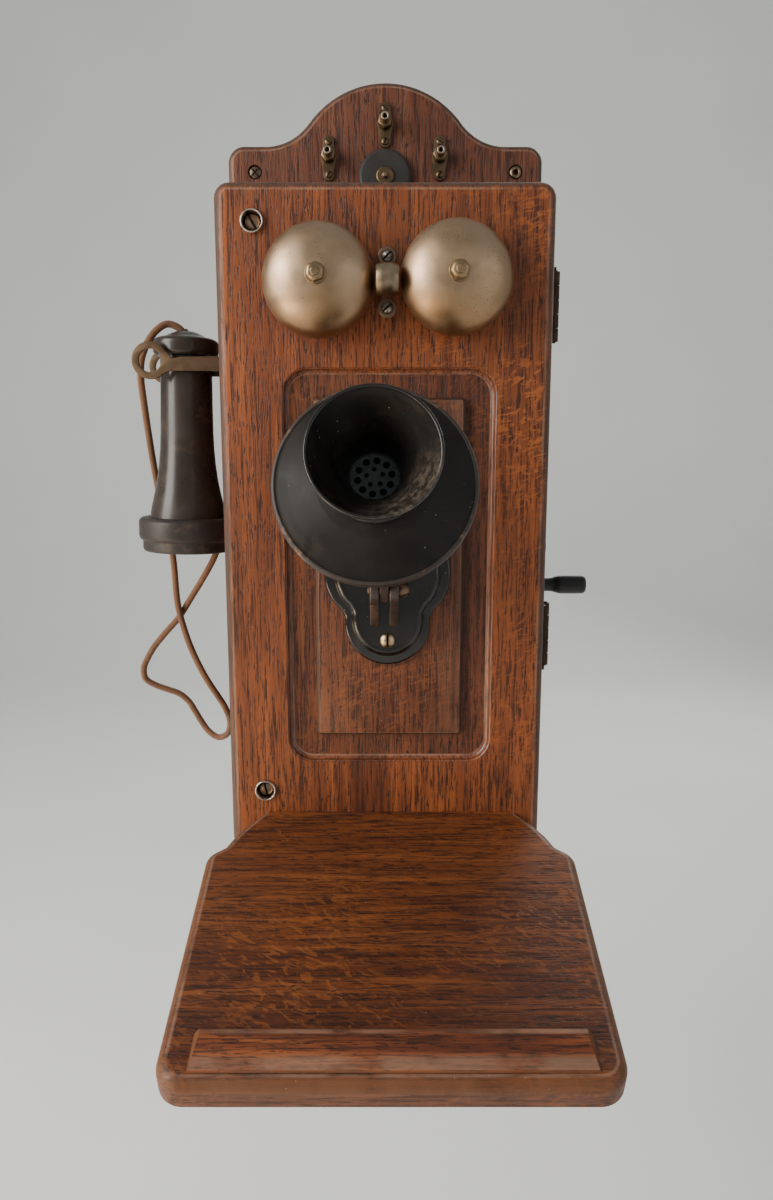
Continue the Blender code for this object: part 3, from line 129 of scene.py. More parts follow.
class Graph:
    """One procedural material. Its patterns are laid out in the row frame, at rest."""

    def __init__(self, name):
        self.material = bpy.data.materials.new(name)
        self.material.use_nodes = True
        self.nodes = self.material.node_tree.nodes
        self.shader = self.nodes["Principled BSDF"]
        place = self.nodes.new("ShaderNodeTexCoord")
        self.where, self.normal = place.outputs["Object"], place.outputs["Normal"]

    def feed(self, socket, value):
        if isinstance(value, bpy.types.NodeSocket):
            self.material.node_tree.links.new(value, socket)
        elif isinstance(value, tuple) and len(value) == 3 and socket.type == "RGBA":
            socket.default_value = (*value, 1.0)
        else:
            socket.default_value = value

    def node(self, kind, output, inputs, **options):
        """Adds a node, sets its options and inputs, and gives back one of its outputs."""
        made = self.nodes.new(f"ShaderNode{kind}")
        for name, value in options.items():
            setattr(made, name, value)
        for name, value in inputs.items():
            self.feed(made.inputs[name], value)
        return made.outputs[output]

    def place(self, stretch=(1.0, 1.0, 1.0), turn=(0.0, 0.0, 0.0), shift=(0.0, 0.0, 0.0), where=None):
        """Coordinates that are stretched first, then turned and shifted."""
        start = where or self.where
        inputs = {"Vector": start, "Scale": stretch, "Rotation": turn, "Location": shift}
        return self.node("Mapping", "Vector", inputs)

    def noise(self, scale, detail=3.0, where=None, distortion=0.0, rough=0.5):
        inputs = {"Vector": where or self.where, "Scale": scale, "Detail": detail}
        inputs |= {"Roughness": rough, "Distortion": distortion}
        return self.node("TexNoise", "Fac", inputs)

    def cells(self, scale):
        return self.node("TexVoronoi", "Distance", {"Vector": self.where, "Scale": scale})

    def ramp(self, value, *stops):
        """Colours, or greys where a stop holds a plain number."""
        node = self.nodes.new("ShaderNodeValToRGB")
        self.feed(node.inputs["Fac"], value)
        line = node.color_ramp
        while len(line.elements) < len(stops):
            line.elements.new(1.0)
        for element, (position, colour) in zip(line.elements, stops):
            element.position = position
            grey = (colour, colour, colour) if isinstance(colour, (int, float)) else colour
            element.color = (*grey, 1.0)
        return node.outputs["Color"]

    def calc(self, how, first, second):
        return self.node("Math", "Value", {0: first, 1: second}, operation=how)

    def cover(self, under, over, *shares):
        """One colour laid over another, as strongly as the shares multiplied together."""
        share = shares[0]
        for other in shares[1:]:
            share = self.calc("MULTIPLY", share, other)
        return self.node("Mix", "Result", {"Factor": share, "A": under, "B": over}, data_type="RGBA")

    def span(self, name, start, end):
        """Runs from 0 to 1 between two places on one axis."""
        along = self.node("SeparateXYZ", name, {"Vector": self.where})
        return self.calc("DIVIDE", self.calc("SUBTRACT", along, start), end - start)

    def distance(self, place):
        return self.node("VectorMath", "Value", {0: self.where, 1: place}, operation="DISTANCE")

    def tilt_from(self, front):
        """0 where the surface faces this way, rising to 1 where it turns away."""
        share = self.node("VectorMath", "Value", {0: self.normal, 1: front}, operation="DOT_PRODUCT")
        return self.calc("SUBTRACT", 1.0, self.calc("ABSOLUTE", share, 0.0))

    def bump(self, height, strength, distance, under=None):
        inputs = {"Strength": strength, "Distance": distance, "Height": height}
        if under is not None:
            inputs["Normal"] = under
        return self.node("Bump", "Normal", inputs)

    def set(self, colour, rough=0.5, metal=0.0, normal=None, coat=0.0, coat_rough=0.1, sheen=0.0, gloss=0.5):
        values = {"Base Color": colour, "Roughness": rough, "Metallic": metal, "Normal": normal}
        values |= {"Coat Weight": coat, "Coat Roughness": coat_rough, "Sheen Weight": sheen}
        values["Specular IOR Level"] = gloss
        for name, value in values.items():
            if value is not None:
                self.feed(self.shader.inputs[name], value)
        return self.material


def shaded(colour, share):
    return tuple(channel * share for channel in colour)


def wood(
    name, grain, front, dark, mid, light, flecks=0.0, slant=0.0, shift=0.0, lean=None,
    worn=(0.066, 0.043, 0.03), dirty=0.84, polish=0.05, settled=0.6,
):
    """Quarter-sawn oak that faces front and has its fibres along the grain axis.

    flecks is how strong the rays are, slant turns them, and lean fades them in between two
    places on X. Edges that turn away wear to the worn colour, and dust lies above settled.
    A pale line where each edge starts to turn away is a painted highlight.
    """
    graph = Graph(name)

    def along(across, length):
        stretch = tuple(length if axis == grain else across for axis in "XYZ")
        return graph.place(stretch, shift=(shift, shift * 0.7, shift * 0.3))

    wide = graph.noise(1.0, 3.0, along(14.0, 2.0), 0.6)
    bands = graph.noise(1.0, 5.0, along(95.0, 5.0), 1.4)
    fibres = graph.noise(1.0, 3.0, along(620.0, 30.0), 0.8, 0.62)
    pores = graph.noise(1.0, 2.0, along(900.0, 110.0), 0.3, 0.7)
    tone = graph.ramp(bands, (0.34, dark), (0.5, mid), (0.68, light))
    tone = graph.cover(tone, light, graph.ramp(wide, (0.4, 0.0), (0.68, 0.65)))
    tone = graph.cover(tone, dark, graph.ramp(wide, (0.3, 0.55), (0.46, 0.0)))
    streak = graph.ramp(fibres, (0.4, 1.0), (0.51, 0.0))
    tone = graph.cover(tone, shaded(dark, 0.4), streak, 0.78)
    pits = graph.ramp(pores, (0.36, 1.0), (0.44, 0.0))
    tone = graph.cover(tone, shaded(dark, 0.25), pits, 0.8)

    if flecks:
        upright = grain == "Z"
        turned_rays = graph.place(turn=(0.0, slant, 0.0) if upright else (0.0, 0.0, slant))
        stretch = (120.0, 120.0, 310.0) if upright else (120.0, 310.0, 120.0)
        spread = graph.place(stretch, shift=(shift + 3.0, shift, 0.0), where=turned_rays)
        rays = graph.ramp(graph.noise(1.0, 2.0, spread, 1.3, 0.55), (0.53, 0.0), (0.62, 1.0))
        shares = [rays, flecks, graph.ramp(graph.noise(13.0, 2.0), (0.38, 0.15), (0.62, 1.0))]
        if lean is not None:
            shares.append(graph.ramp(graph.span("X", *lean), (0.0, 0.12), (1.0, 1.0)))
        bright = (min(light[0] * 1.55, 1.0), light[1] * 1.6, light[2] * 1.2)
        tone = graph.cover(tone, bright, *shares)

    tilt = graph.tilt_from(front)
    edge = graph.ramp(tilt, (0.035, 0.0), (0.16, 1.0), (0.9, 1.0), (1.0, 0.3))
    patch = graph.ramp(graph.noise(60.0, 4.0), (0.3, 0.5), (0.6, 1.0))
    tone = graph.cover(tone, worn, edge, patch, dirty)
    # Painted highlight: a pale pinkish line where each edge starts to turn, as if it caught the light.
    line = graph.ramp(tilt, (0.005, 0.0), (0.015, 1.0), (0.04, 1.0), (0.09, 0.0))
    highlight_gaps = graph.ramp(graph.noise(45.0, 4.0), (0.36, 0.25), (0.55, 1.0))
    tone = graph.cover(tone, (0.34, 0.2, 0.13), line, highlight_gaps, 0.45)

    specks = graph.ramp(graph.cells(230.0), (0.03, 1.0), (0.06, 0.0))
    rare = graph.ramp(graph.noise(34.0, 2.0), (settled, 0.0), (settled + 0.06, 1.0))
    tone = graph.cover(tone, (0.45, 0.4, 0.34), specks, rare, 0.75)
    rough = graph.ramp(fibres, (0.35, 0.6), (0.65, 0.42))
    grooves = graph.calc("ADD", graph.calc("MULTIPLY", streak, -0.6), graph.calc("MULTIPLY", pits, -1.0))
    normal = graph.bump(grooves, 0.4, 0.0004, graph.bump(bands, 0.1, 0.0006))
    return graph.set(tone, rough, normal=normal, coat=polish, coat_rough=0.26, gloss=0.34)


def aged_metal(name, base, dull, rough=(0.28, 0.48), spots=0.0, scale=55.0, low=None, pits=0.15):
    """Worn metal: patches of tarnish, small dark spots and a fine grain.

    low is the two heights between which the dull colour fades, from the bottom up: painted shade on the
    hammer's underside, and on the gongs darker towards the bottom.
    """
    graph = Graph(name)
    patch = graph.noise(scale, 5.0, None, 0.4, 0.6)
    tone = graph.ramp(patch, (0.3, tuple((a + b) / 2 for a, b in zip(base, dull))), (0.52, base))
    tone = graph.cover(tone, dull, graph.ramp(patch, (0.6, 0.0), (0.74, 0.55)))
    # Darker towards the bottom: on the hammer this is painted shade where its underside turns into shadow.
    if low:
        uneven = graph.calc("MULTIPLY", graph.calc("SUBTRACT", patch, 0.5), 0.5)
        rise = graph.calc("ADD", graph.span("Z", *low), uneven)
        tone = graph.cover(tone, dull, graph.ramp(rise, (0.0, 0.75), (0.55, 0.0)))
    if spots:
        dots = graph.ramp(graph.cells(620.0), (0.16, 1.0), (0.26, 0.0))
        where = graph.ramp(graph.noise(70.0, 3.0), (0.5, 0.0), (0.62, 1.0))
        tone = graph.cover(tone, shaded(dull, 0.3), dots, where, spots)
    shine = graph.ramp(graph.noise(scale * 2.4, 4.0), (0.35, rough[1]), (0.65, rough[0]))
    normal = graph.bump(graph.noise(900.0, 3.0), pits, 0.0002)
    return graph.set(tone, shine, 1.0, normal)


def black(name, base, rough, coat=0.0, dust=0.5, brown=None, grain=500.0, sheen=0.0, gloss=0.35, dusty=None):
    """Paint, japan or hard rubber: near black, with smears, wear and specks of dust.

    brown is the colour of its worn patches, and dusty a place and reach where dust settles.
    """
    graph = Graph(name)
    smear = graph.noise(26.0, 5.0, None, 0.8, 0.6)
    tone = graph.ramp(smear, (0.35, base), (0.72, tuple(c * 1.7 + 0.004 for c in base)))
    if brown:
        tone = graph.cover(
            tone, brown, graph.ramp(graph.noise(75.0, 5.0, None, 0.3, 0.65), (0.56, 0.0), (0.66, 0.8))
        )
    specks = graph.ramp(graph.cells(190.0), (0.03, 1.0), (0.055, 0.0))
    rare = graph.ramp(graph.noise(45.0, 2.0), (0.5, 0.0), (0.56, 1.0))
    tone = graph.cover(tone, (0.5, 0.46, 0.4), specks, rare, dust)
    if dusty:
        place, reach = dusty
        near = graph.ramp(graph.calc("DIVIDE", graph.distance(place), reach), (0.45, 1.0), (1.0, 0.0))
        clumps = graph.ramp(graph.noise(210.0, 5.0, None, 0.5, 0.7), (0.44, 0.12), (0.62, 1.0))
        tone = graph.cover(tone, (0.15, 0.115, 0.085), near, clumps, 0.65)
    shine = graph.ramp(smear, (0.3, rough * 0.8), (0.75, min(rough * 1.35, 1.0)))
    normal = graph.bump(graph.noise(grain, 3.0), 0.1, 0.0002)
    return graph.set(tone, shine, normal=normal, coat=coat, coat_rough=0.12, sheen=sheen, gloss=gloss)


# Mesh helpers


def new_object(name, shape, matrix=None):
    """A new object from a bmesh, with its place written into its points."""
    bmesh.ops.recalc_face_normals(shape, faces=shape.faces)
    mesh = bpy.data.meshes.new(name)
    shape.to_mesh(mesh)
    shape.free()
    if matrix is not None:
        mesh.transform(matrix)
        if matrix.determinant() < 0:
            mesh.flip_normals()
    obj = bpy.data.objects.new(name, mesh)
    bpy.context.scene.collection.objects.link(obj)
    return obj


def painted(obj, material):
    obj.data.materials.append(material)
    return obj


def finish_piece(obj, material, body, *nodes, smooth=35):
    """Shades the piece, and has it ride on a body in place of these CAD nodes."""
    if material is not None:
        painted(obj, material)
    obj.data.shade_smooth()
    obj.data.set_sharp_from_angle(angle=math.radians(smooth))
    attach(obj, body)
    if nodes:
        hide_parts(*nodes)


def arc(cx, cy, radius, start, end, steps):
    turns = [math.radians(start + (end - start) * i / steps) for i in range(steps + 1)]
    return [(cx + radius * math.cos(t), cy + radius * math.sin(t)) for t in turns]


def circle(cx, cy, radius, sides=32):
    return arc(cx, cy, radius, 0, 360, sides)[:-1]


def rounded(width, height, radius, steps=10, cx=0.0, cy=0.0):
    x, y = width / 2 - radius, height / 2 - radius
    corners = ((x, y, 0), (-x, y, 90), (-x, -y, 180), (x, -y, 270))
    return [
        point
        for dx, dy, start in corners
        for point in arc(cx + dx, cy + dy, radius, start, start + 90, steps)
    ]


def mirrored(half):
    return half + [(-x, y) for x, y in reversed(half) if x > 0.00001]


def eased(points, radius, closed=False, steps=4):
    """The same line with its corners rounded; the ends of an open line stay."""
    places = [Vector((*point, 0.0)) for point in points]
    count = len(places)
    line = [] if closed else [points[0]]
    for i in range(0 if closed else 1, count if closed else count - 1):
        before, here, after = places[i - 1], places[i], places[(i + 1) % count]
        back, on = before - here, after - here
        reach = min(radius, back.length * 0.45, on.length * 0.45)
        start, end = here + back.normalized() * reach, here + on.normalized() * reach
        for step in range(steps + 1):
            t = step / steps
            place = start * (1 - t) ** 2 + here * 2 * t * (1 - t) + end * t * t
            line.append((place.x, place.y))
    if not closed:
        line.append(points[-1])
    return line


def lathe(name, points, matrix, sides=72, closed=False):
    """A turned piece: (radius, height) points round local Z."""
    shape = bmesh.new()
    turns = [2 * math.pi * i / sides for i in range(sides)]
    rings = []
    for radius, height in points:
        around = turns if radius > 1e-6 else turns[:1]
        rings.append([shape.verts.new((radius * math.cos(t), radius * math.sin(t), height)) for t in around])
    pairs = list(zip(rings, rings[1:]))
    if closed:
        pairs.append((rings[-1], rings[0]))
    for upper, lower in pairs:
        for i in range(sides):
            places = [(ring, k) for ring, k in ((upper, i), (upper, i + 1), (lower, i + 1), (lower, i))]
            corners = list(dict.fromkeys(ring[k % len(ring)] for ring, k in places))
            if len(corners) > 2:
                shape.faces.new(corners)
    return new_object(name, shape, matrix)


def turned(name, points, ease, matrix, sides=40, closed=False, steps=4):
    """A lathe piece with its corners rounded."""
    return lathe(name, eased(points, ease, closed, steps), matrix, sides, closed)


def inset(outline, distance):
    """The outline moved inward along its own normals; it runs anticlockwise."""
    count = len(outline)
    moved = []
    for i in range(count):
        a, b, c = (Vector(outline[k % count]) for k in (i - 1, i, i + 1))
        first, second = (b - a).normalized(), (c - b).normalized()
        normal = Vector((-first.y - second.y, first.x + second.x)).normalized()
        spread = max(normal.dot(Vector((-first.y, first.x))), 0.35)
        place = b + normal * (distance / spread)
        moved.append((place.x, place.y))
    return moved


def moulded(name, outline, steps, matrix):
    """A board or plate built ring by ring: steps are (inset, height) pairs, back to front."""
    shape = bmesh.new()
    rings = []
    for distance, height in steps:
        line = inset(outline, distance) if distance else outline
        rings.append([shape.verts.new((x, y, height)) for x, y in line])
    for lower, upper in zip(rings, rings[1:]):
        for i in range(len(outline)):
            j = (i + 1) % len(outline)
            shape.faces.new((lower[i], lower[j], upper[j], upper[i]))
    shape.faces.new(list(reversed(rings[0])))
    shape.faces.new(rings[-1])
    return new_object(name, shape, matrix)


def round_over(thick, radius, steps=7):
    """(inset, height) pairs of a board with a rounded front edge and an eased back."""
    back = 0.0006
    pairs = [(back, 0.0), (0.0, back)]
    for i in range(steps + 1):
        turn = math.radians(90 * i / steps)
        pairs.append((radius * (1 - math.cos(turn)), thick - radius + radius * math.sin(turn)))
    return pairs


def box_shape(x, y, z, ease=0.0004, segments=2):
    shape = bmesh.new()
    bmesh.ops.create_cube(shape, size=1.0)
    bmesh.ops.scale(shape, vec=(x, y, z), verts=shape.verts)
    if ease:
        bmesh.ops.bevel(
            shape, geom=list(shape.edges), offset=ease, segments=segments, affect="EDGES", profile=0.5
        )
    return shape


def at(x, y, z, turn=None):
    return Matrix.Translation((x, y, z)) @ (turn or Matrix.Identity(4))


def on(matrix, x=0.0, y=0.0, z=0.0):
    """A place given in another place's own axes."""
    return matrix @ Matrix.Translation((x, y, z))


def facing(direction):
    return Vector(direction).to_track_quat("Z", "Y").to_matrix().to_4x4()


def cut(obj, *tools):
    """Takes the tools' shapes out of the piece, and removes the tools."""
    for other in tools:
        step = obj.modifiers.new("cut", "BOOLEAN")
        step.operation = "DIFFERENCE"
        step.solver = "EXACT"
        step.object = other
    apply_modifiers(obj)
    for other in tools:
        bpy.data.objects.remove(other)
    return obj


def apply_modifiers(obj):
    bpy.context.view_layer.update()
    graph = bpy.context.evaluated_depsgraph_get()
    made = bpy.data.meshes.new_from_object(obj.evaluated_get(graph))
    obj.modifiers.clear()
    obj.data = made


def join(first, *others):
    """One piece from several, each with its own materials already on it."""
    shape = bmesh.new()
    materials = []
    for obj in (first, *others):
        start = len(shape.faces)
        shape.from_mesh(obj.data)
        shape.faces.ensure_lookup_table()
        places = []
        for material in obj.data.materials:
            if material not in materials:
                materials.append(material)
            places.append(materials.index(material))
        if places:
            for face in shape.faces[start:]:
                face.material_index = places[min(face.material_index, len(places) - 1)]
    mesh = bpy.data.meshes.new(first.name)
    shape.to_mesh(mesh)
    shape.free()
    for material in materials:
        mesh.materials.append(material)
    first.data = mesh
    for obj in others:
        bpy.data.objects.remove(obj)
    return first


def middle(node):
    low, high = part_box(node)
    return (low + high) / 2


def outward(node, y):
    """A place on a node's middle line at this depth, its local z pointing to the viewer."""
    spot = middle(node)
    return at(spot.x, y, spot.z, FRONT)


def plate(name, loops, thick, matrix, ease=0.0004, segments=2):
    """A flat outline with holes and eased edges, its thickness centred on local Z."""
    curve = bpy.data.curves.new(name, "CURVE")
    curve.dimensions = "2D"
    curve.fill_mode = "BOTH"
    curve.extrude = thick / 2
    for loop in loops:
        spline = curve.splines.new("POLY")
        spline.points.add(len(loop) - 1)
        spline.use_cyclic_u = True
        for point, (x, y) in zip(spline.points, loop):
            point.co = (x, y, 0.0, 1.0)
    holder = bpy.data.objects.new(name, curve)
    bpy.context.scene.collection.objects.link(holder)
    bpy.context.view_layer.update()
    made = bpy.data.meshes.new_from_object(holder.evaluated_get(bpy.context.evaluated_depsgraph_get()))
    bpy.data.objects.remove(holder)
    shape = bmesh.new()
    shape.from_mesh(made)
    bmesh.ops.remove_doubles(shape, verts=shape.verts, dist=0.00001)
    flat = math.radians(0.5)
    bmesh.ops.dissolve_limit(shape, angle_limit=flat, verts=shape.verts, edges=shape.edges)
    obj = new_object(name, shape)
    if ease:
        step = obj.modifiers.new("eased", "BEVEL")
        step.width = ease
        step.segments = segments
        step.angle_limit = math.radians(50)
        apply_modifiers(obj)
    obj.data.transform(matrix)
    return obj


def rod(name, radius, length, matrix, sides=32, ease=0.0003):
    """A round bar with eased ends, centred on the matrix."""
    half = length / 2
    return turned(name, [(0, half), (radius, half), (radius, -half), (0, -half)], ease, matrix, sides)


def with_shank(head, metal, radius, length, matrix, sides=24):
    """A screw: its head joined to a plain shank."""
    return join(head, painted(rod("shank", radius, length, matrix, sides), metal))


def slotted(name, radius, dome, matrix, material, turn=0.0, slot=0.0012, depth=0.0016, cross=False):
    """A round screw head, its top at local z = dome, with a slot turned by this angle, its walls painted near
    black as grime and painted shade.
    """
    under = -0.0022
    line = [(0, dome), (radius * 0.45, dome * 0.93), (radius * 0.85, dome * 0.55), (radius, 0.0)]
    head = turned(name, line + [(radius * 0.9, under), (0, under)], radius * 0.2, matrix, 48)
    painted(painted(head, material), bpy.data.materials["slot_grime_and_shade"])
    angles = [math.radians(turn), math.radians(turn + 90)][: 2 if cross else 1]
    for angle in angles:
        spun = matrix @ Matrix.Rotation(angle, 4, "Z")
        reach = 0.55 if cross else 1.2
        shape = box_shape(radius * 2 * reach, slot, depth * 2, 0.0)
        cut(head, new_object("slot", shape, on(spun, z=dome)))
    # The slot's walls take the second, near-black material: grime and painted shade in the slot.
    for polygon in head.data.polygons:
        place = matrix.inverted() @ polygon.center
        inside = under + 0.0001 < place.z < dome - 0.0001
        offsets = [abs(place.y * math.cos(angle) - place.x * math.sin(angle)) for angle in angles]
        polygon.material_index = int(inside and min(offsets) < slot / 2 + 0.00002)
    return head


# Wood: backboard, box, door and shelf


def backboard_outline(node):
    """The crested outline, with the same bends as the solid it stands for."""
    low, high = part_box(node)
    half, corner, crest_radius, cove_x, cove_radius = high.x, 0.011, 0.066, 0.082, 0.038
    shoulder = high.z - 0.04
    crest_z, cove_z = high.z - crest_radius, shoulder + cove_radius
    meeting = math.degrees(math.atan2(cove_z - crest_z, cove_x))
    x = half - corner
    line = arc(x, low.z + corner, corner, -90, 0, 10)
    line += arc(x, shoulder - corner, corner, 0, 90, 14)
    line += arc(cove_x, cove_z, cove_radius, 270, 180 + meeting, 20)
    line += arc(0, crest_z, crest_radius, meeting, 90, 26)[1:]
    return mirrored(line)


def make_backboard(paint):
    low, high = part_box("backboard")
    steps = round_over(high.y - low.y, 0.0045)
    board = moulded("backboard_shaped", backboard_outline("backboard"), steps, at(0, high.y, 0, FRONT))
    for side in ("left", "right"):
        sink = [(0, 0.001), (0.0052, 0.001), (0.0046, -0.0008), (0.0046, -0.003), (0, -0.003)]
        cut(board, lathe("sink", sink, outward(f"wall_screw_{side}", low.y), 40))
    finish_piece(board, paint["board_oak"], "root", "backboard")


def panel_pocket(field, depth, matrix):
    """The shape that the sunken field leaves: a quirk, then a cove down to its floor."""
    cove_width, cove_height, quirk = 0.0036, 0.0028, 0.001
    steps = [(cove_width + quirk, -depth)]
    for x, z in arc(0, 0, 1, 0, 90, 8):
        steps.append((cove_width + quirk - cove_width * z, -depth + cove_height * (1 - x)))
    steps += [(0.0009, -0.0008), (0.0004, -0.0006), (0.0, 0.0), (-0.0004, 0.002)]
    return moulded("pocket", field, steps, matrix)


def make_door(paint):
    low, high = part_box("door_board")
    centre_x, centre_z = (low.x + high.x) / 2, (low.z + high.z) / 2
    outline = rounded(high.x - low.x, high.z - low.z, 0.009, 14)
    steps = round_over(high.y - low.y, 0.006, 9)
    door = moulded("door_shaped", outline, steps, at(centre_x, high.y, centre_z, FRONT))
    depth, panel_x, panel_z = 0.004, 0.0026, -0.03
    field_width, field_height = 0.1275, 0.2429
    front = at(panel_x, low.y, panel_z, FRONT)
    tools = [panel_pocket(rounded(field_width, field_height, 0.016, 14), depth, front)]
    for node in ("lock_screw_upper", "lock_screw_lower"):
        well = [(0, 0.002), (0.0058, 0.002), (0.0058, -0.0065), (0, -0.0065)]
        tools.append(lathe("well", well, outward(node, low.y), 32))
    swing = Vector(JOINTS["clapper_swing"]["pos_m"])
    hammer_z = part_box("clapper")[1].z - 0.009
    tools.append(new_object("slot", box_shape(0.0085, 0.06, 0.006, 0.0), at(swing.x, low.y, hammer_z)))
    cut(door, *tools)

    raised = [(0.0, -depth - 0.001), (0.0, -depth + 0.0008), (0.0003, -depth + 0.0012)]
    raised += [(0.0006, -0.0014), (0.0011, -0.0006), (0.0017, -0.0001), (0.0021, 0.0)]
    island = moulded("raised", rounded(0.0908, 0.2081, 0.0025, 6), raised, front)
    for name in ("door_oak", "panel_oak", "cove_oak"):
        painted(door, paint[name])
    for polygon in door.data.polygons:
        place = polygon.center
        across, up = abs(place.x - panel_x), abs(place.z - panel_z)
        inside = across < field_width / 2 + 0.00025 and up < field_height / 2 + 0.00015
        if inside and low.y + 0.0002 < place.y < low.y + depth + 0.001:
            polygon.material_index = 1 if abs(polygon.normal.y) > 0.98 else 2
    finish_piece(join(door, painted(island, paint["panel_oak"])), None, "door", "door_board")


SHELF_SLOPE = math.radians(18.5)


def shelf_place(x=0.0, along=0.0, above=0.0):
    """A place in the shelf's frame: local y down the slope, z out of its top."""
    door_front, top_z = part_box("door_board")[0].y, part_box("shelf_board")[1].z
    turn = Matrix.Rotation(math.pi, 4, "Z")
    slope = Matrix.Rotation(SHELF_SLOPE, 4, "X")
    return at(0, door_front, top_z, slope) @ turn @ Matrix.Translation((-x, along, above))


def make_shelf(paint):
    low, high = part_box("shelf_board")
    half, length, thick = (high.x - low.x) / 2, 0.182, 0.018
    centre_x = (high.x + low.x) / 2
    back = 0.0865
    right = [(back - 0.003, -0.008), (back - 0.003, 0.001)]
    right += [(back + 0.004, 0.0095), (back + 0.0105, 0.0195), (half - 0.0098, 0.029)]
    right += arc(half - 0.011, 0.042, 0.011, -52, 0, 12)
    right += arc(half - 0.014, length - 0.014, 0.014, 0, 90, 12)
    nose = 0.0065
    steps = [(0.002, 0.0), (0.0, 0.002), (0.0, thick - 0.008)]
    steps += [(nose - x, thick - nose + z) for x, z in arc(0, 0, nose, 0, 90, 8)]
    board = moulded("shelf_shaped", mirrored(right), steps, shelf_place(centre_x, 0.0, -thick))
    door_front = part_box("door_board")[0].y
    cut(board, new_object("door", box_shape(0.3, 0.06, 0.2, 0.0), at(0, door_front + 0.0297, high.z)))
    # The shelf's oak is painted darker than the door's, as shade on its upward top.
    finish_piece(board, paint["shelf_oak_shaded"], "door", "shelf_board")

    rise, reach = 0.0042, 0.1
    strip = [(0.156, 0.0002), (0.156, rise), (0.1592, rise), (0.175, 0.0012), (0.1762, 0.0002)]
    ledge_x = centre_x + 0.001
    ledge = plate("ledge_shaped", [strip], 2 * reach, shelf_place(ledge_x) @ SIDE, 0.0006, 3)
    tools = []
    for side in (-1, 1):
        place = shelf_place(ledge_x + side * (reach + 0.0025), 0.165, 0.0)
        tilt = Matrix.Rotation(side * math.radians(38), 4, "Y")
        tools.append(new_object("end", box_shape(0.01, 0.05, 0.03, 0.0), place @ tilt))
    cut(ledge, *tools)
    finish_piece(ledge, paint["ledge_oak"], "door", "shelf_ledge")


# Metal on the door: gongs, hammer and screws


def gong_line(radius, height, wall, hole):
    """The bell's section: a full outer curve, a rolled lip and the inner curve."""
    share = [1 - (1 - i / 26) ** 1.7 for i in range(27)]
    outer = [(radius * (1 - min(s, 0.9995) ** 2.25) ** (1 / 2.05), height * s) for s in share]
    outer = [(r, h) for r, h in outer if r > hole]
    inner = [(r - wall, h - wall * (h / height) ** 2) for r, h in outer]
    inner = [(r, h) for r, h in inner if r > hole]
    lip = [(radius - 0.0003, -0.0002), (radius - 0.0009, -0.0003), (radius - wall, 0.0002)]
    return [(hole, height), *reversed(outer[1:]), (radius, 0.0006), *lip, *inner[1:], (hole, height - wall)]


def make_gongs(paint):
    foot = -0.0097
    for side, spin in (("left", 22), ("right", 8)):
        low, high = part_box(f"gong_{side}")
        rim = outward(f"gong_{side}", high.y)
        radius, height = (high.x - low.x) / 2, high.y - low.y
        bell = lathe(f"gong_{side}_turned", gong_line(radius, height, 0.0014, 0.003), rim, 112, True)
        finish_piece(bell, paint[f"gong_{side}"], "door", f"gong_{side}")

        line = [(0, height), (0.0048, height - 0.0017), (0.0048, foot), (0, foot)]
        post = turned(f"gong_post_{side}", line, 0.0003, rim, 32)
        seat = on(rim, z=height + 0.0002)
        sides = [(0.0006, 0.0), (0.0, 0.0005), (0.0, 0.0042), (0.0004, 0.0049), (0.0011, 0.0054)]
        spun = seat @ Matrix.Rotation(math.radians(spin), 4, "Z")
        head = moulded("head", circle(0, 0, 0.0054, 6), sides + [(0.0017, 0.0056)], spun)
        tip = turned("tip", [(0, 0.0064), (0.0022, 0.0063), (0.0026, 0.005), (0, 0.005)], 0.0004, seat, 24)
        line = [(0, 0.0009), (0.0058, 0.0008), (0.006, -0.0004), (0, -0.0004)]
        bolt = join(post, head, tip, turned("collar", line, 0.0003, seat))
        finish_piece(bolt, paint["bolt_brass"], "door", f"gong_bolt_{side}")


def make_clapper(paint):
    low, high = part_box("clapper")
    swing = Vector(JOINTS["clapper_swing"]["pos_m"])
    hammer = Vector((swing.x, low.y + 0.009, high.z - 0.009))
    end, half = 0.009, 0.0065
    line = [(0, half), (end - 0.001, half), (end, half * 0.5), (end + 0.0001, 0)]
    line += [(end, -half * 0.5), (end - 0.001, -half), (0, -half)]
    barrel = turned("clapper_shaped", line, 0.0011, at(*hammer, facing((1, 0, 0))), 64)
    bend = 0.006
    route = [swing + Vector((0, 0, 0.003))]
    for y, z in arc(swing.y - bend, hammer.z - bend, bend, 0, 90, 8):
        route.append(Vector((swing.x, y, z)))
    route.append(hammer + Vector((0, 0.004, 0)))
    stem = sweep("stem", route, lambda run, turn: 0.0013, 20)
    bar = new_object("bar", box_shape(0.05, 0.01, 0.0036), at(swing.x, swing.y, swing.z + 0.003))
    line = [(0.0014, 0.0051), (0.0042, 0.0051), (0.0042, -0.0051), (0.0014, -0.0051)]
    hub = turned("hub", line, 0.0003, at(*swing, FRONT), 32, True)
    steel = [painted(obj, paint["plain_steel"]) for obj in (stem, bar, hub)]
    finish_piece(join(painted(barrel, paint["hammer_brass"]), *steel), None, "clapper", "clapper")


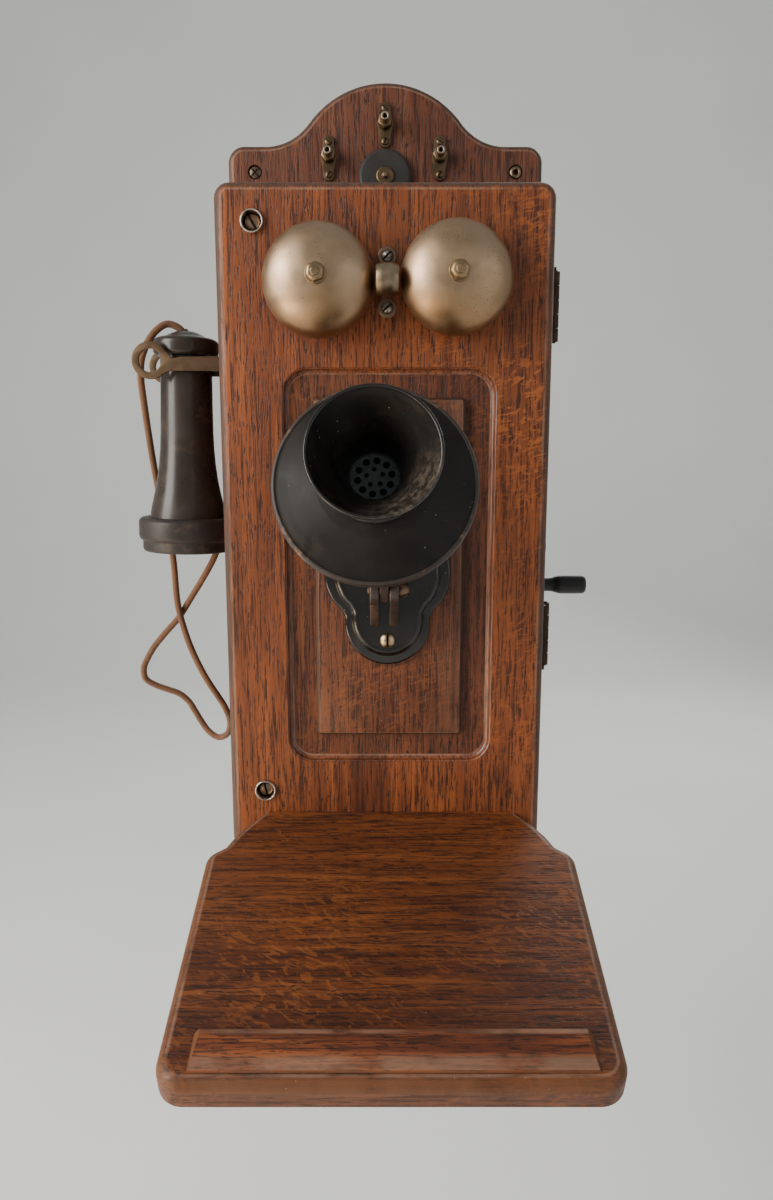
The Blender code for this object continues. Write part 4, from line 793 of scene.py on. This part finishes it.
def make_door_screws(paint):
    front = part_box("door_board")[0].y
    for name, turn in (("upper", -60), ("lower", -76)):
        place = outward(f"cup_washer_{name}", front)
        cup = [(0.0054, 0.0009), (0.0058, 0.002), (0.0064, 0.002), (0.0069, 0.001), (0.00695, 0.0001)]
        cup += [(0.0056, 0.0001), (0.0056, -0.0058), (0.0027, -0.0058), (0.0027, -0.005), (0.005, -0.0047)]
        ring = turned(f"cup_{name}", cup, 0.00035, place, 72, True, 5)
        finish_piece(ring, paint["washer_nickel"], "door", f"cup_washer_{name}")
        metal = paint["screw_bronze"]
        head = slotted(f"lock_head_{name}", 0.0045, 0.0016, on(place, z=-0.0026), metal, turn, 0.0013, 0.0012)
        screw = with_shank(head, metal, 0.0022, 0.029, on(place, z=-0.0195))
        finish_piece(screw, None, f"lock_{name}", f"lock_screw_{name}")

    eyelet = [(0.0034, 0.0006), (0.0052, 0.0005), (0.0056, 0.0001), (0.0034, 0.0001)]
    for name, turn in (("upper", 44), ("lower", 40)):
        place, metal = outward(f"ringer_screw_{name}", front), paint["ringer_steel"]
        head = slotted(f"ringer_head_{name}", 0.0034, 0.0034, place, metal, turn, 0.0012, 0.0016)
        screw = with_shank(head, metal, 0.0016, 0.018, on(place, z=-0.0105), 20)
        finish_piece(screw, None, "door", f"ringer_screw_{name}")
        flange = turned(f"ringer_eyelet_{name}", eyelet, 0.0002, place, 40, True)
        finish_piece(flange, paint["screw_bronze"], "door")


# Runs: the clapper's stem and the cord


def catmull(route, count):
    """Evenly spread points on a smooth curve through the route's points."""
    places = [Vector(point) for point in route]
    ends = [places[0] * 2 - places[1], *places, places[-1] * 2 - places[-2]]
    fine = []
    for a, b, c, d in zip(ends, ends[1:], ends[2:], ends[3:]):
        for step in range(12):
            t = step / 12
            bend = (2 * a - 5 * b + 4 * c - d) * t * t + (3 * b - a - 3 * c + d) * t**3
            fine.append(0.5 * (2 * b + (c - a) * t + bend))
    fine.append(places[-1])
    runs = [0.0]
    for first, second in zip(fine, fine[1:]):
        runs.append(runs[-1] + (second - first).length)
    spread, index = [], 0
    for number in range(count):
        goal = runs[-1] * number / (count - 1)
        while index < len(runs) - 2 and runs[index + 1] < goal:
            index += 1
        share = (goal - runs[index]) / (runs[index + 1] - runs[index])
        spread.append(fine[index].lerp(fine[index + 1], min(share, 1.0)))
    return spread, runs[-1]


def sweep(name, route, radius_at, sides=24):
    """A tube along a route. radius_at takes the distance run and the angle round."""
    shape = bmesh.new()
    side = (route[1] - route[0]).orthogonal().normalized()
    run, rings = 0.0, []
    for i, here in enumerate(route):
        before, after = route[max(i - 1, 0)], route[min(i + 1, len(route) - 1)]
        forward = (after - before).normalized()
        side = (side - forward * side.dot(forward)).normalized()
        up = forward.cross(side)
        if i:
            run += (here - before).length
        ring = []
        for k in range(sides):
            turn = 2 * math.pi * k / sides
            radius = radius_at(run, turn)
            ring.append(shape.verts.new(here + (side * math.cos(turn) + up * math.sin(turn)) * radius))
        rings.append(ring)
    for lower, upper in zip(rings, rings[1:]):
        for k in range(sides):
            j = (k + 1) % sides
            shape.faces.new((lower[k], lower[j], upper[j], upper[k]))
    shape.faces.new(rings[0])
    shape.faces.new(rings[-1])
    return new_object(name, shape)


CORD_ROUTE = (
    (-0.1268, -0.072, 0.112), (-0.1298, -0.072, 0.118), (-0.1342, -0.0722, 0.1222),
    (-0.1395, -0.0732, 0.1228), (-0.1447, -0.0745, 0.12), (-0.149, -0.0755, 0.1148),
    (-0.1535, -0.0755, 0.108), (-0.157, -0.0735, 0.099), (-0.1585, -0.07, 0.088),
    (-0.159, -0.062, 0.07), (-0.1595, -0.052, 0.05), (-0.1595, -0.042, 0.029),
    (-0.1585, -0.035, 0.01), (-0.1555, -0.0315, -0.012), (-0.152, -0.0315, -0.032),
    (-0.1505, -0.034, -0.048), (-0.148, -0.039, -0.066), (-0.1425, -0.044, -0.084),
    (-0.136, -0.0475, -0.1), (-0.1275, -0.049, -0.117), (-0.1195, -0.0475, -0.131),
    (-0.1145, -0.0435, -0.143), (-0.1135, -0.039, -0.155), (-0.1175, -0.035, -0.1635),
    (-0.1243, -0.032, -0.166), (-0.1311, -0.0295, -0.1625), (-0.1385, -0.027, -0.153),
    (-0.144, -0.026, -0.1435), (-0.1495, -0.026, -0.1365), (-0.1565, -0.027, -0.1325),
    (-0.1665, -0.028, -0.1286), (-0.174, -0.029, -0.1245), (-0.1778, -0.03, -0.1185),
    (-0.1752, -0.031, -0.1095), (-0.169, -0.032, -0.0985), (-0.159, -0.0335, -0.0865),
    (-0.149, -0.0345, -0.0755), (-0.14, -0.0365, -0.062), (-0.1305, -0.0385, -0.0475),
    (-0.122, -0.0405, -0.0335), (-0.1155, -0.0425, -0.02), (-0.1095, -0.044, -0.009),
    (-0.104, -0.0449, -0.0038), (-0.099, -0.045, -0.003), (-0.094, -0.045, -0.003),
)


def make_cord(paint):
    """A limp cloth cord, its braid two sets of strands that cross."""
    radius, pitch, strands = 0.0023, 0.009, 6
    rough, _ = catmull(CORD_ROUTE, 64)
    route, length = catmull(rough, 900)

    def braid(run, turn):
        lay = 2 * math.pi * run / pitch
        first = math.cos(strands * (turn - lay))
        second = math.cos(strands * (turn + lay))
        return radius * (0.965 + 0.035 * max(first, second))

    cord = sweep("cord", route, braid, 36)
    painted(cord, paint["cloth"])
    cord.data.shade_smooth()
    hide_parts("receiver_cord")
    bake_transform(cord)


# Transmitter


TILT = math.radians(19)
TALK = Vector((0, -math.cos(TILT), math.sin(TILT)))
SCREEN_FORWARD = 0.0108


def talk_place(forward):
    """A place on the transmitter's axis, measured forward from the rim's plane."""
    screen = middle("transmitter_screen")
    centre = Vector((middle("mouthpiece").x, screen.y, screen.z)) + TALK * (forward - SCREEN_FORWARD)
    return at(*centre, facing(TALK))


def make_transmitter(paint):
    rim, edge = talk_place(0), 0.0527
    face = [(0.0203, 0.0124), (0.0222, 0.0122), (0.03, 0.01), (0.036, 0.0074), (0.044, 0.0042)]
    face += [(0.049, 0.0024), (0.0503, 0.0021), (0.0509, 0.0024), (0.0521, 0.0021), (edge, 0.0008)]
    face += [(edge + 0.0002, -0.0008), (edge, -0.003), (edge - 0.0015, -0.003), (edge - 0.0015, -0.0008)]
    face += [(0.036, 0.0057), (0.0203, 0.0109)]
    front = turned("faceplate_turned", face, 0.0006, rim, 160, True, 3)
    painted(painted(front, paint["face_black"]), paint["face_rim"])
    for polygon in front.data.polygons:
        offset = polygon.center - rim.translation
        polygon.material_index = int((offset - TALK * offset.dot(TALK)).length > edge - 0.0021)
    finish_piece(front, None, "transmitter", "faceplate")

    cup = [(0, -0.0285), (0.036, -0.0285), (0.0459, -0.0225), (0.0494, -0.0032), (0.0509, -0.0032)]
    cup += [(0.05, -0.012), (0.0474, -0.024), (0.045, -0.0275), (0.04, -0.0296), (0.037, -0.03)]
    shell = turned("cup_turned", cup + [(0, -0.03)], 0.0012, rim, 128)
    finish_piece(shell, paint["cup_black"], "transmitter", "transmitter_cup")

    mouth = [(0.0298, 0.0508), (0.0303, 0.0518), (0.0311, 0.0521), (0.0319, 0.0514), (0.0318, 0.0498)]
    mouth += [(0.0288, 0.0436), (0.0262, 0.0385), (0.024, 0.033), (0.0224, 0.027), (0.0214, 0.0215)]
    mouth += [(0.0212, 0.018), (0.022, 0.015), (0.0236, 0.014), (0.024, 0.0129), (0.02, 0.0129)]
    mouth += [(0.02, 0.0088), (0.0141, 0.0088), (0.0141, 0.0116), (0.0122, 0.0119), (0.0126, 0.016)]
    mouth += [(0.0139, 0.0215), (0.0166, 0.028), (0.0206, 0.0355), (0.0248, 0.0424), (0.028, 0.048)]
    funnel = turned("mouthpiece_turned", mouth, 0.0014, rim, 160, True)
    finish_piece(funnel, paint["mouth_rubber"], "transmitter", "mouthpiece", smooth=60)

    holes = [circle(0, 0, 0.0138, 64)]
    for count, ring, size in ((10, 0.0086, 0.0018), (5, 0.0042, 0.0012)):
        for number in range(count):
            turn = 2 * math.pi * (number + 0.3) / count
            holes.append(circle(ring * math.cos(turn), ring * math.sin(turn), size, 20))
    disc = plate("screen_pressed", holes, 0.0014, talk_place(SCREEN_FORWARD), 0.0002)
    finish_piece(disc, paint["screen_grey"], "transmitter", "transmitter_screen")

    pivot = Vector(JOINTS["transmitter_tilt"]["pos_m"])
    along = Vector((0, math.sin(TILT), math.cos(TILT)))
    back = talk_place(-0.0303).translation
    top, low = back + along * 0.012, back - along * 0.022
    top_back, low_back = top - TALK * 0.005, low - TALK * 0.005
    knee = low_back - TALK * 0.004 + along * 0.006
    line = [(low.y, low.z), (top.y, top.z), (top_back.y, top_back.z), (knee.y, knee.z + 0.006)]
    line += arc(pivot.y, pivot.z, 0.007, 60, -160, 24)
    line += [(low_back.y + 0.0005, low_back.z + 0.001)]
    arm = plate("arm_cast", [line], 0.0052, at(pivot.x, 0, 0, SIDE), 0.0008, 3)
    finish_piece(arm, paint["lug_iron"], "transmitter", "transmitter_arm")

    axis = at(*pivot, facing((1, 0, 0)))
    metal = paint["screw_bronze"]
    head = slotted("pivot_head", 0.0044, 0.005, on(axis, z=0.01), metal, 35)
    screw = with_shank(head, metal, 0.0022, 0.019, on(axis, z=-0.0002))
    finish_piece(screw, None, "transmitter", "pivot_screw")


def base_outline():
    """A round lobe below, shoulders above, then the same again upside down."""
    lobe = arc(0, -0.061, 0.0262, -90, 8, 22)
    side = [(0.0268, -0.0556), (0.029, -0.052), (0.0322, -0.049), (0.0345, -0.046)]
    shoulder = arc(0, -0.03, 0.0385, -14, 14, 8)
    upper = [(x, -0.06 - z) for x, z in reversed(lobe + side)]
    return mirrored(lobe + side + shoulder + upper)


def make_base(paint):
    """A stepped plate with a hollowed border, and the fork that holds the transmitter."""
    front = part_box("transmitter_base")[1].y
    face = at(middle("base_screw").x, front, 0, FRONT)
    lower = base_outline()
    edge = [(0.0005, 0.0), (0.0, 0.0005), (0.0, 0.002), (0.0003, 0.0029), (0.0011, 0.0035), (0.0016, 0.0036)]
    under = moulded("base_cast", lower, edge, face)
    upper = [(x * 0.84, -0.03 + (z + 0.03) * 0.9) for x, z in lower]
    rise = [(0.0, 0.003), (0.0, 0.004), (0.0006, 0.005), (0.0012, 0.006), (0.002, 0.0067)]
    rise += [(0.003, 0.0071), (0.004, 0.0071), (0.0046, 0.0068), (0.0056, 0.0068)]
    step = moulded("step", upper, rise, face)

    pivot = Vector(JOINTS["transmitter_tilt"]["pos_m"])
    root_y = front - 0.005
    cheek = [(root_y, -0.064), (root_y - 0.004, -0.06), (pivot.y + 0.004, pivot.z - 0.0115)]
    cheek += arc(pivot.y, pivot.z, 0.0085, 285, 90, 26)
    cheek += [(root_y - 0.004, -0.0245), (root_y, -0.0215)]
    lugs = []
    for side in (-1, 1):
        lug = plate("lug", [cheek], 0.0056, at(pivot.x + side * 0.0058, 0, 0, SIDE), 0.0011, 3)
        lugs.append(painted(lug, paint["lug_iron"]))
    under, step = painted(under, paint["japan"]), painted(step, paint["japan"])
    finish_piece(join(under, step, *lugs), None, "door", "transmitter_base")

    place, metal = outward("base_screw", front), paint["screw_brass"]
    head = slotted("base_head", 0.0048, 0.0029, on(place, z=0.0072), metal, 90, 0.0014, 0.0018)
    screw = with_shank(head, metal, 0.002, 0.0048, on(place, z=0.0028), 20)
    finish_piece(screw, None, "door", "base_screw")


# Receiver and its hook


NECK_X, NECK_Z = -0.1284, 0.096


def make_receiver(paint):
    """Heights run from the middle of the neck, where the hook holds it."""
    lean = Matrix.Rotation(math.radians(1.33), 4, "Y")
    neck = at(NECK_X, middle("hook_lever").y, NECK_Z, lean)
    shell = [(0, 0.0062), (0.0163, 0.0062), (0.0163, 0.003), (0.0164, -0.006), (0.0166, -0.024)]
    shell += [(0.0169, -0.041), (0.0174, -0.052), (0.0183, -0.062), (0.0195, -0.0705), (0.0208, -0.0775)]
    shell += [(0.0222, -0.0838), (0.0233, -0.0886), (0.0241, -0.093), (0.0245, -0.0962), (0.0245, -0.101)]
    shell += [(0.0222, -0.101), (0.019, -0.082), (0.014, -0.05), (0.0138, 0.002), (0, 0.002)]
    body = lathe("receiver_turned", shell, neck, 128)
    finish_piece(body, paint["receiver_rubber"], "receiver", "receiver_shell", smooth=50)

    top = -0.0965
    ear = [(0.0247, top), (0.0262, top + 0.0006), (0.03, top + 0.0002), (0.0318, top - 0.0018)]
    ear += [(0.0318, top - 0.012), (0.0309, top - 0.0138), (0.0296, top - 0.0146), (0.0294, top - 0.016)]
    ear += [(0.0294, top - 0.02), (0.0284, top - 0.0218), (0.0255, top - 0.0212), (0.02, top - 0.0192)]
    ear += [(0.015, top - 0.0177), (0.009, top - 0.017), (0.0055, top - 0.0165), (0.0055, top - 0.013)]
    ear += [(0.0262, top - 0.013), (0.0262, top - 0.003), (0.0247, top - 0.003)]
    cap = turned("ear_turned", ear, 0.0009, neck, 144, True)
    finish_piece(cap, paint["ear_rubber"], "receiver", "ear_cap", smooth=50)

    crown = [(0, 0.0227), (0.003, 0.0226), (0.006, 0.0221), (0.0085, 0.0212), (0.011, 0.02)]
    crown += [(0.0128, 0.019), (0.015, 0.0184), (0.0172, 0.0179), (0.0192, 0.0171), (0.0205, 0.0158)]
    crown += [(0.0208, 0.0142), (0.0207, 0.011), (0.0205, 0.0086), (0.0192, 0.0066), (0, 0.0066)]
    head = painted(turned("crown_turned", crown, 0.0008, neck, 128), paint["receiver_rubber"])
    start, after = Vector(CORD_ROUTE[0]), Vector(CORD_ROUTE[1])
    leaving = (after - start).normalized()
    mouth = at(*(start + leaving * 0.0062), facing(leaving))
    ring = [(0.0024, 0.0006), (0.0027, 0.0012), (0.0034, 0.0012), (0.0038, 0.0004)]
    ring += [(0.0038, -0.004), (0.0024, -0.004)]
    eyelet = painted(turned("eyelet", ring, 0.0004, mouth, 40, True), paint["ear_rubber"])
    finish_piece(join(head, eyelet), None, "receiver", "receiver_top", smooth=50)


def make_hook(paint):
    """A lever through the box's side that forks into two ringed prongs."""
    low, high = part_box("hook_lever")
    pivot = Vector(JOINTS["hook_pivot"]["pos_m"])
    bottom, top = 0.092, 0.1008
    height, centre = top - bottom, (top + bottom) / 2
    cross_x, prong_y = -0.1035, 0.0206
    lever = new_object(
        "hook_forged",
        box_shape(high.x - cross_x, 0.004, height, 0.0008, 3),
        at((high.x + cross_x) / 2, pivot.y, centre),
    )
    cross = new_object(
        "cross",
        box_shape(0.0028, 2 * prong_y + 0.0024, height, 0.0008, 3),
        at(cross_x + 0.0014, pivot.y, centre),
    )
    pin = rod("pin", 0.0018, 0.013, at(*pivot, FRONT), 24)
    ring_x, ring_z = low.x + 0.0114, low.z + 0.0114
    root = cross_x + 0.0022
    waist = (ring_x + 0.014, top - 0.0012)
    outline = [(root, bottom), (root, top), (waist[0] + 0.006, top - 0.0003), waist]
    outline += arc(ring_x, ring_z, 0.0114, 35, 315, 56)
    outline += [(waist[0] - 0.002, bottom)]
    hole = circle(ring_x, ring_z, 0.0071, 56)
    parts = [cross, pin]
    for side in (-1, 1):
        place = at(0, pivot.y + side * prong_y, 0, FRONT)
        parts.append(plate("prong", [outline, hole], 0.0024, place, 0.0008, 3))
    finish_piece(join(lever, *parts), paint["hook_bronze"], "hook", "hook_lever")


# Crank


def make_crank(paint):
    hub = Vector(JOINTS["crank_spin"]["pos_m"])
    hand = Vector(JOINTS["handle_spin"]["pos_m"])
    outward = facing((1, 0, 0))
    away = hand - hub
    angle = math.degrees(math.atan2(away.z, away.y))
    thick = 0.0033
    outline = arc(hub.y, hub.z, 0.0076, angle + 90, angle + 270, 28)
    outline += arc(hand.y, hand.z, 0.0053, angle - 90, angle + 90, 22)
    arm = plate("crank_forged", [outline], thick, at(hub.x + thick / 2, 0, 0, SIDE), 0.0007, 3)
    shaft_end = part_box("crank_arm")[0].x
    length = hub.x + 0.001 - shaft_end
    shaft = rod("shaft", 0.0038, length, at(shaft_end + length / 2, hub.y, hub.z, outward), 40)
    rivet = [(0, 0.001), (0.0022, 0.0009), (0.0036, 0.0005), (0.004, -0.0002), (0, -0.0002)]
    rivet = turned("rivet", rivet, 0.0004, at(hub.x + thick, hub.y, hub.z, outward))
    length = 0.033
    pin = rod("pin", 0.002, length, at(hub.x + thick + length / 2 - 0.001, hand.y, hand.z, outward), 24)
    finish_piece(join(arm, shaft, rivet, pin), paint["crank_steel"], "crank", "crank_arm")

    start = hub.x + thick + 0.0003
    grip = [(0.0023, 0.139), (0.003, 0.1412), (0.0044, 0.1418), (0.0058, 0.1412), (0.0065, 0.1396)]
    grip += [(0.0066, 0.134), (0.0066, 0.126), (0.0064, 0.123), (0.0058, 0.1208), (0.0051, 0.1186)]
    grip += [(0.0048, 0.116), (0.0048, 0.113), (0.0052, 0.1104), (0.0054, start), (0.0023, start)]
    handle = turned("handle_turned", grip, 0.0008, at(0, hand.y, hand.z, outward), 64, True, 3)
    finish_piece(handle, paint["handle_black"], "crank_grip", "crank_handle", smooth=50)


# Binding posts, arrester and wall screws


def make_posts(paint):
    lozenge = mirrored(
        arc(0, -0.0105, 0.004, -90, 20, 14)
        + arc(0, 0.0005, 0.0056, -20, 20, 8)
        + arc(0, 0.0105, 0.004, -20, 90, 14)
    )
    edge = [(0.0003, 0.0), (0.0, 0.0003), (0.0, 0.0011), (0.0002, 0.0015), (0.0006, 0.0016)]
    collar_line = [(0, 0.0046), (0.0043, 0.0044), (0.0048, 0.0014), (0, 0.0014)]
    sides = [(0.0005, 0.0042), (0.0, 0.0047), (0.0, 0.0066), (0.0005, 0.0072), (0.0013, 0.0075)]
    hollow = [(0.0029, 0.0062), (0.0029, 0.014), (0.0025, 0.0147), (0.0016, 0.0147), (0.0013, 0.014)]
    hollow += [(0.0013, 0.008), (0.001, 0.0062)]
    brass = paint["post_brass"]
    for name, spin in (("left", 12), ("centre", 20), ("right", 3)):
        spot = outward(f"binding_post_{name}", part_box(f"binding_post_{name}")[1].y)
        up = on(spot, y=0.0012)
        spun = up @ Matrix.Rotation(math.radians(spin), 4, "Z")
        under = moulded(f"post_{name}", lozenge, edge, spot)
        collar = turned("collar", collar_line, 0.0005, up)
        nut = moulded("nut", circle(0, 0, 0.0051, 6), sides, spun)
        pieces = [painted(obj, brass) for obj in (under, collar, nut)]
        pieces.append(painted(turned("stud", hollow, 0.0003, up, 40, True), paint["stud_brass"]))
        for y, turn in ((-0.0106, 60), (0.0104, -30)):
            place = on(spot, y=y, z=0.0016)
            pieces.append(slotted("screw", 0.0026, 0.0012, place, brass, turn, 0.0008, 0.0008))
        finish_piece(join(*pieces), None, "root", f"binding_post_{name}")


def make_arrester(paint):
    place = outward("arrester_disc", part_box("arrester_disc")[1].y)
    disc = [(0, 0.0044), (0.006, 0.0044), (0.012, 0.0044), (0.0158, 0.0043), (0.017, 0.0038)]
    disc = turned("arrester_pressed", disc + [(0.0178, 0.003), (0.0179, 0.0), (0, 0.0)], 0.0005, place, 96)
    ring = [(0.0021, 0.0056), (0.0052, 0.0058), (0.0061, 0.0052), (0.0062, 0.0043), (0.0021, 0.0043)]
    ring = turned("ring", ring, 0.0004, place, 64, True)
    knob = [(0, 0.008), (0.0012, 0.0079), (0.0019, 0.0072), (0.002, 0.0056), (0.003, 0.0054)]
    knob = turned("knob", knob + [(0.003, 0.0042), (0, 0.0042)], 0.0004, place)
    looks = (disc, "arrester_grey"), (ring, "post_brass"), (knob, "screw_bronze")
    pieces = [painted(obj, paint[name]) for obj, name in looks]
    finish_piece(join(*pieces), None, "root", "arrester_disc")


def make_wall_screws(paint):
    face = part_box("backboard")[0].y
    hollow = [(0.0014, -0.0014), (0.002, 0.0002), (0.003, 0.0004), (0.004, -0.0004)]
    hollow += [(0.0042, -0.002), (0.0014, -0.0024)]
    for name in ("left", "right"):
        place, metal = outward(f"wall_screw_{name}", face), paint[f"wall_{name}"]
        if name == "left":
            sunk = on(place, z=-0.0013)
            head = slotted("wall_head_left", 0.0042, 0.0011, sunk, metal, 45, 0.0011, 0.001, True)
        else:
            head = painted(turned("wall_head_right", hollow, 0.0004, place, 48, True), metal)
        screw = with_shank(head, metal, 0.002, 0.0092, on(place, z=-0.0083), 20)
        finish_piece(screw, None, "root", f"wall_screw_{name}")


# Materials and the pieces that stay as modelled


def dusty_lip():
    """Where dust settles inside the mouthpiece, at its lower right, and how far it reaches."""
    low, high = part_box("mouthpiece")
    return (high.x - 0.012, low.y + 0.006, low.z + 0.013), 0.03


def make_woods():
    oak = {"dark": (0.078, 0.018, 0.006), "mid": (0.168, 0.04, 0.011), "light": (0.3, 0.08, 0.02)}
    panel = {"dark": (0.062, 0.016, 0.007), "mid": (0.115, 0.031, 0.011), "light": (0.19, 0.056, 0.019)}
    # The shelf's palette is the door's oak made darker: painted shade for its top, which faces up and gets
    # less light.
    shelf = {"dark": (0.064, 0.015, 0.005), "mid": (0.116, 0.03, 0.008), "light": (0.215, 0.062, 0.016)}
    board = {"dark": (0.07, 0.019, 0.009), "mid": (0.12, 0.034, 0.015), "light": (0.19, 0.06, 0.026)}
    glow = (0.16, 0.062, 0.024)
    ahead, aside, upward = (0, 1, 0), (1, 0, 0), (0, 0, 1)
    shelf_top, ledge_top = (0, -0.3173, 0.9483), (0, -0.5015, 0.8652)
    return {
        "door_oak": wood("door_oak", "Z", ahead, shift=1.3, flecks=0.75, slant=0.35, lean=(0.0, 0.09), **oak),
        "panel_oak": wood("panel_oak", "Z", ahead, shift=6.1, flecks=0.35, slant=0.35, **panel),
        "cove_oak": wood("cove_oak", "Z", ahead, shift=1.3, dirty=0.05, polish=0.8, **oak),
        "board_oak": wood("board_oak", "Z", ahead, shift=3.7, **board),
        "box_oak": wood("box_oak", "Z", aside, shift=5.2, **board),
        "cap_oak": wood("cap_oak", "X", upward, shift=8.4, **board),
        "shelf_oak_shaded": wood(
            "shelf_oak_shaded", "X", shelf_top, shift=2.2, flecks=0.45, slant=0.45, worn=glow, settled=0.46, **shelf
        ),
        "ledge_oak": wood("ledge_oak", "X", ledge_top, shift=9.1, worn=glow, **oak),
        "bracket_oak": wood("bracket_oak", "Z", aside, shift=4.4, **board),
    }


def make_metals():
    """Each entry holds the bright colour, the tarnished one, the roughness range and the spots."""
    looks = {
        "plain_steel": ((0.36, 0.35, 0.33), (0.16, 0.13, 0.11), (0.32, 0.55)),
        "dark_iron": ((0.1, 0.09, 0.085), (0.05, 0.04, 0.035), (0.45, 0.7)),
        "screw_bronze": ((0.26, 0.17, 0.11), (0.1, 0.06, 0.04), (0.35, 0.6), 0.4),
        "screw_brass": ((0.5, 0.36, 0.2), (0.2, 0.13, 0.07), (0.28, 0.5), 0.4),
        "washer_nickel": ((0.62, 0.55, 0.48), (0.34, 0.28, 0.23), (0.2, 0.32), 0.0, 55.0, None, 0.03),
        "ringer_steel": ((0.42, 0.37, 0.32), (0.18, 0.14, 0.11), (0.3, 0.5), 0.4),
        "hook_bronze": ((0.145, 0.095, 0.058), (0.07, 0.044, 0.028), (0.38, 0.6), 0.4),
        "post_brass": ((0.17, 0.112, 0.064), (0.06, 0.038, 0.024), (0.34, 0.58), 0.5),
        "stud_brass": ((0.44, 0.36, 0.27), (0.22, 0.17, 0.11), (0.3, 0.5), 0.4),
        "bolt_brass": ((0.34, 0.235, 0.13), (0.15, 0.095, 0.05), (0.26, 0.5), 0.5),
        "crank_steel": ((0.1, 0.085, 0.075), (0.045, 0.036, 0.03), (0.38, 0.6), 0.4),
        "gear_brass": ((0.5, 0.37, 0.18), (0.28, 0.19, 0.09), (0.26, 0.45)),
        "hinge_bronze": ((0.065, 0.042, 0.03), (0.03, 0.02, 0.015), (0.45, 0.7), 0.4),
        "wall_left": ((0.2, 0.135, 0.095), (0.1, 0.06, 0.04), (0.3, 0.5), 0.4),
        "wall_right": ((0.26, 0.18, 0.11), (0.12, 0.08, 0.05), (0.3, 0.5), 0.4),
    }
    for side in ("left", "right"):
        low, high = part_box(f"gong_{side}")
        bell = (0.455, 0.315, 0.2), (0.33, 0.195, 0.095), (0.36, 0.5)
        looks[f"gong_{side}"] = (*bell, 0.6, 36.0, (low.z, high.z), 0.12)
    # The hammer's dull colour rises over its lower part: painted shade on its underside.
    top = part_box("clapper")[1].z
    hammer = (0.34, 0.265, 0.175), (0.15, 0.095, 0.055), (0.3, 0.5)
    looks["hammer_brass"] = (*hammer, 0.6, 70.0, (top - 0.018, top))
    return {name: aged_metal(name, *look) for name, look in looks.items()}


def make_blacks():
    """Each entry holds the colour, roughness, coat, dust and the colour where it has worn."""
    looks = {
        "face_rim": ((0.03, 0.022, 0.018), 0.42, 0.0, 0.6, (0.2, 0.115, 0.07)),
        "cup_black": ((0.009, 0.008, 0.007), 0.45, 0.0, 0.8, (0.04, 0.026, 0.018)),
        "receiver_rubber": ((0.023, 0.0155, 0.0115), 0.3, 0.15, 0.8, (0.06, 0.038, 0.028)),
        "ear_rubber": ((0.022, 0.016, 0.014), 0.4, 0.0, 0.9, (0.08, 0.055, 0.042)),
        "screen_grey": ((0.05, 0.05, 0.052), 0.5, 0.0, 0.6),
        "handle_black": ((0.0075, 0.0065, 0.006), 0.38, 0.05, 0.8),
        "arrester_grey": ((0.02, 0.017, 0.015), 0.5, 0.0, 0.9, (0.04, 0.031, 0.025)),
        "lug_iron": ((0.034, 0.022, 0.017), 0.36, 0.2, 0.7, (0.1, 0.06, 0.04)),
        # Near black for the walls of screw slots: grime and painted shade.
        "slot_grime_and_shade": ((0.012, 0.009, 0.007), 0.8, 0.0, 0.2),
        "carbon": ((0.03, 0.03, 0.032), 0.6, 0.0, 0.3),
        "winding": ((0.1, 0.035, 0.022), 0.42, 0.3, 0.3, (0.16, 0.07, 0.04), 1400.0),
        "cloth": ((0.12, 0.052, 0.022), 0.85, 0.0, 0.4, (0.23, 0.115, 0.055), 1800.0, 0.25),
    }
    paint = {name: black(name, *look) for name, look in looks.items()}
    face = (0.0075, 0.0056, 0.0042), 0.46, 0.0, 0.9, (0.022, 0.015, 0.011)
    paint["face_black"] = black("face_black", *face, gloss=0.22)
    japan = (0.0055, 0.004, 0.003), 0.2, 0.7, 0.7, (0.026, 0.016, 0.01)
    paint["japan"] = black("japan", *japan, gloss=0.25)
    mouth = (0.007, 0.006, 0.005), 0.27, 0.15, 0.8, (0.024, 0.016, 0.011)
    paint["mouth_rubber"] = black("mouth_rubber", *mouth, dusty=dusty_lip())
    return paint


CARRIED = {
    "box_oak": ("cabinet_side_left", "cabinet_side_right"),
    "cap_oak": ("cabinet_top", "cabinet_bottom"),
    "bracket_oak": ("shelf_bracket_left", "shelf_bracket_right"),
    "screw_bronze": ("cord_bushing",),
    "hinge_bronze": (
        "hinge_frame_leaf_upper", "hinge_door_leaf_upper", "hinge_frame_leaf_lower", "hinge_door_leaf_lower",
    ),
    "gear_brass": ("drive_gear", "crank_bearing"),
    "dark_iron": ("ringer_frame", "magneto_magnets", "magneto_frame", "receiver_magnet"),
    "plain_steel": ("hook_switch", "magneto_armature", "condenser"),
    "winding": ("ringer_coil_left", "ringer_coil_right", "induction_coil"),
    "carbon": ("carbon_button",),
}


def paint_carried(paint):
    """The pieces that keep their modelled shape get their own materials."""
    for name, nodes in CARRIED.items():
        for node in nodes:
            frame["nodes"][node].data.materials.clear()
            painted(frame["nodes"][node], paint[name])


make_camera()
materials = {**make_woods(), **make_metals(), **make_blacks()}
make_cord(materials)
make_lights()
make_stage()
make_backboard(materials)
make_door(materials)
make_shelf(materials)
make_gongs(materials)
make_clapper(materials)
make_door_screws(materials)
make_transmitter(materials)
make_base(materials)
make_receiver(materials)
make_hook(materials)
make_crank(materials)
make_posts(materials)
make_arrester(materials)
make_wall_screws(materials)
paint_carried(materials)
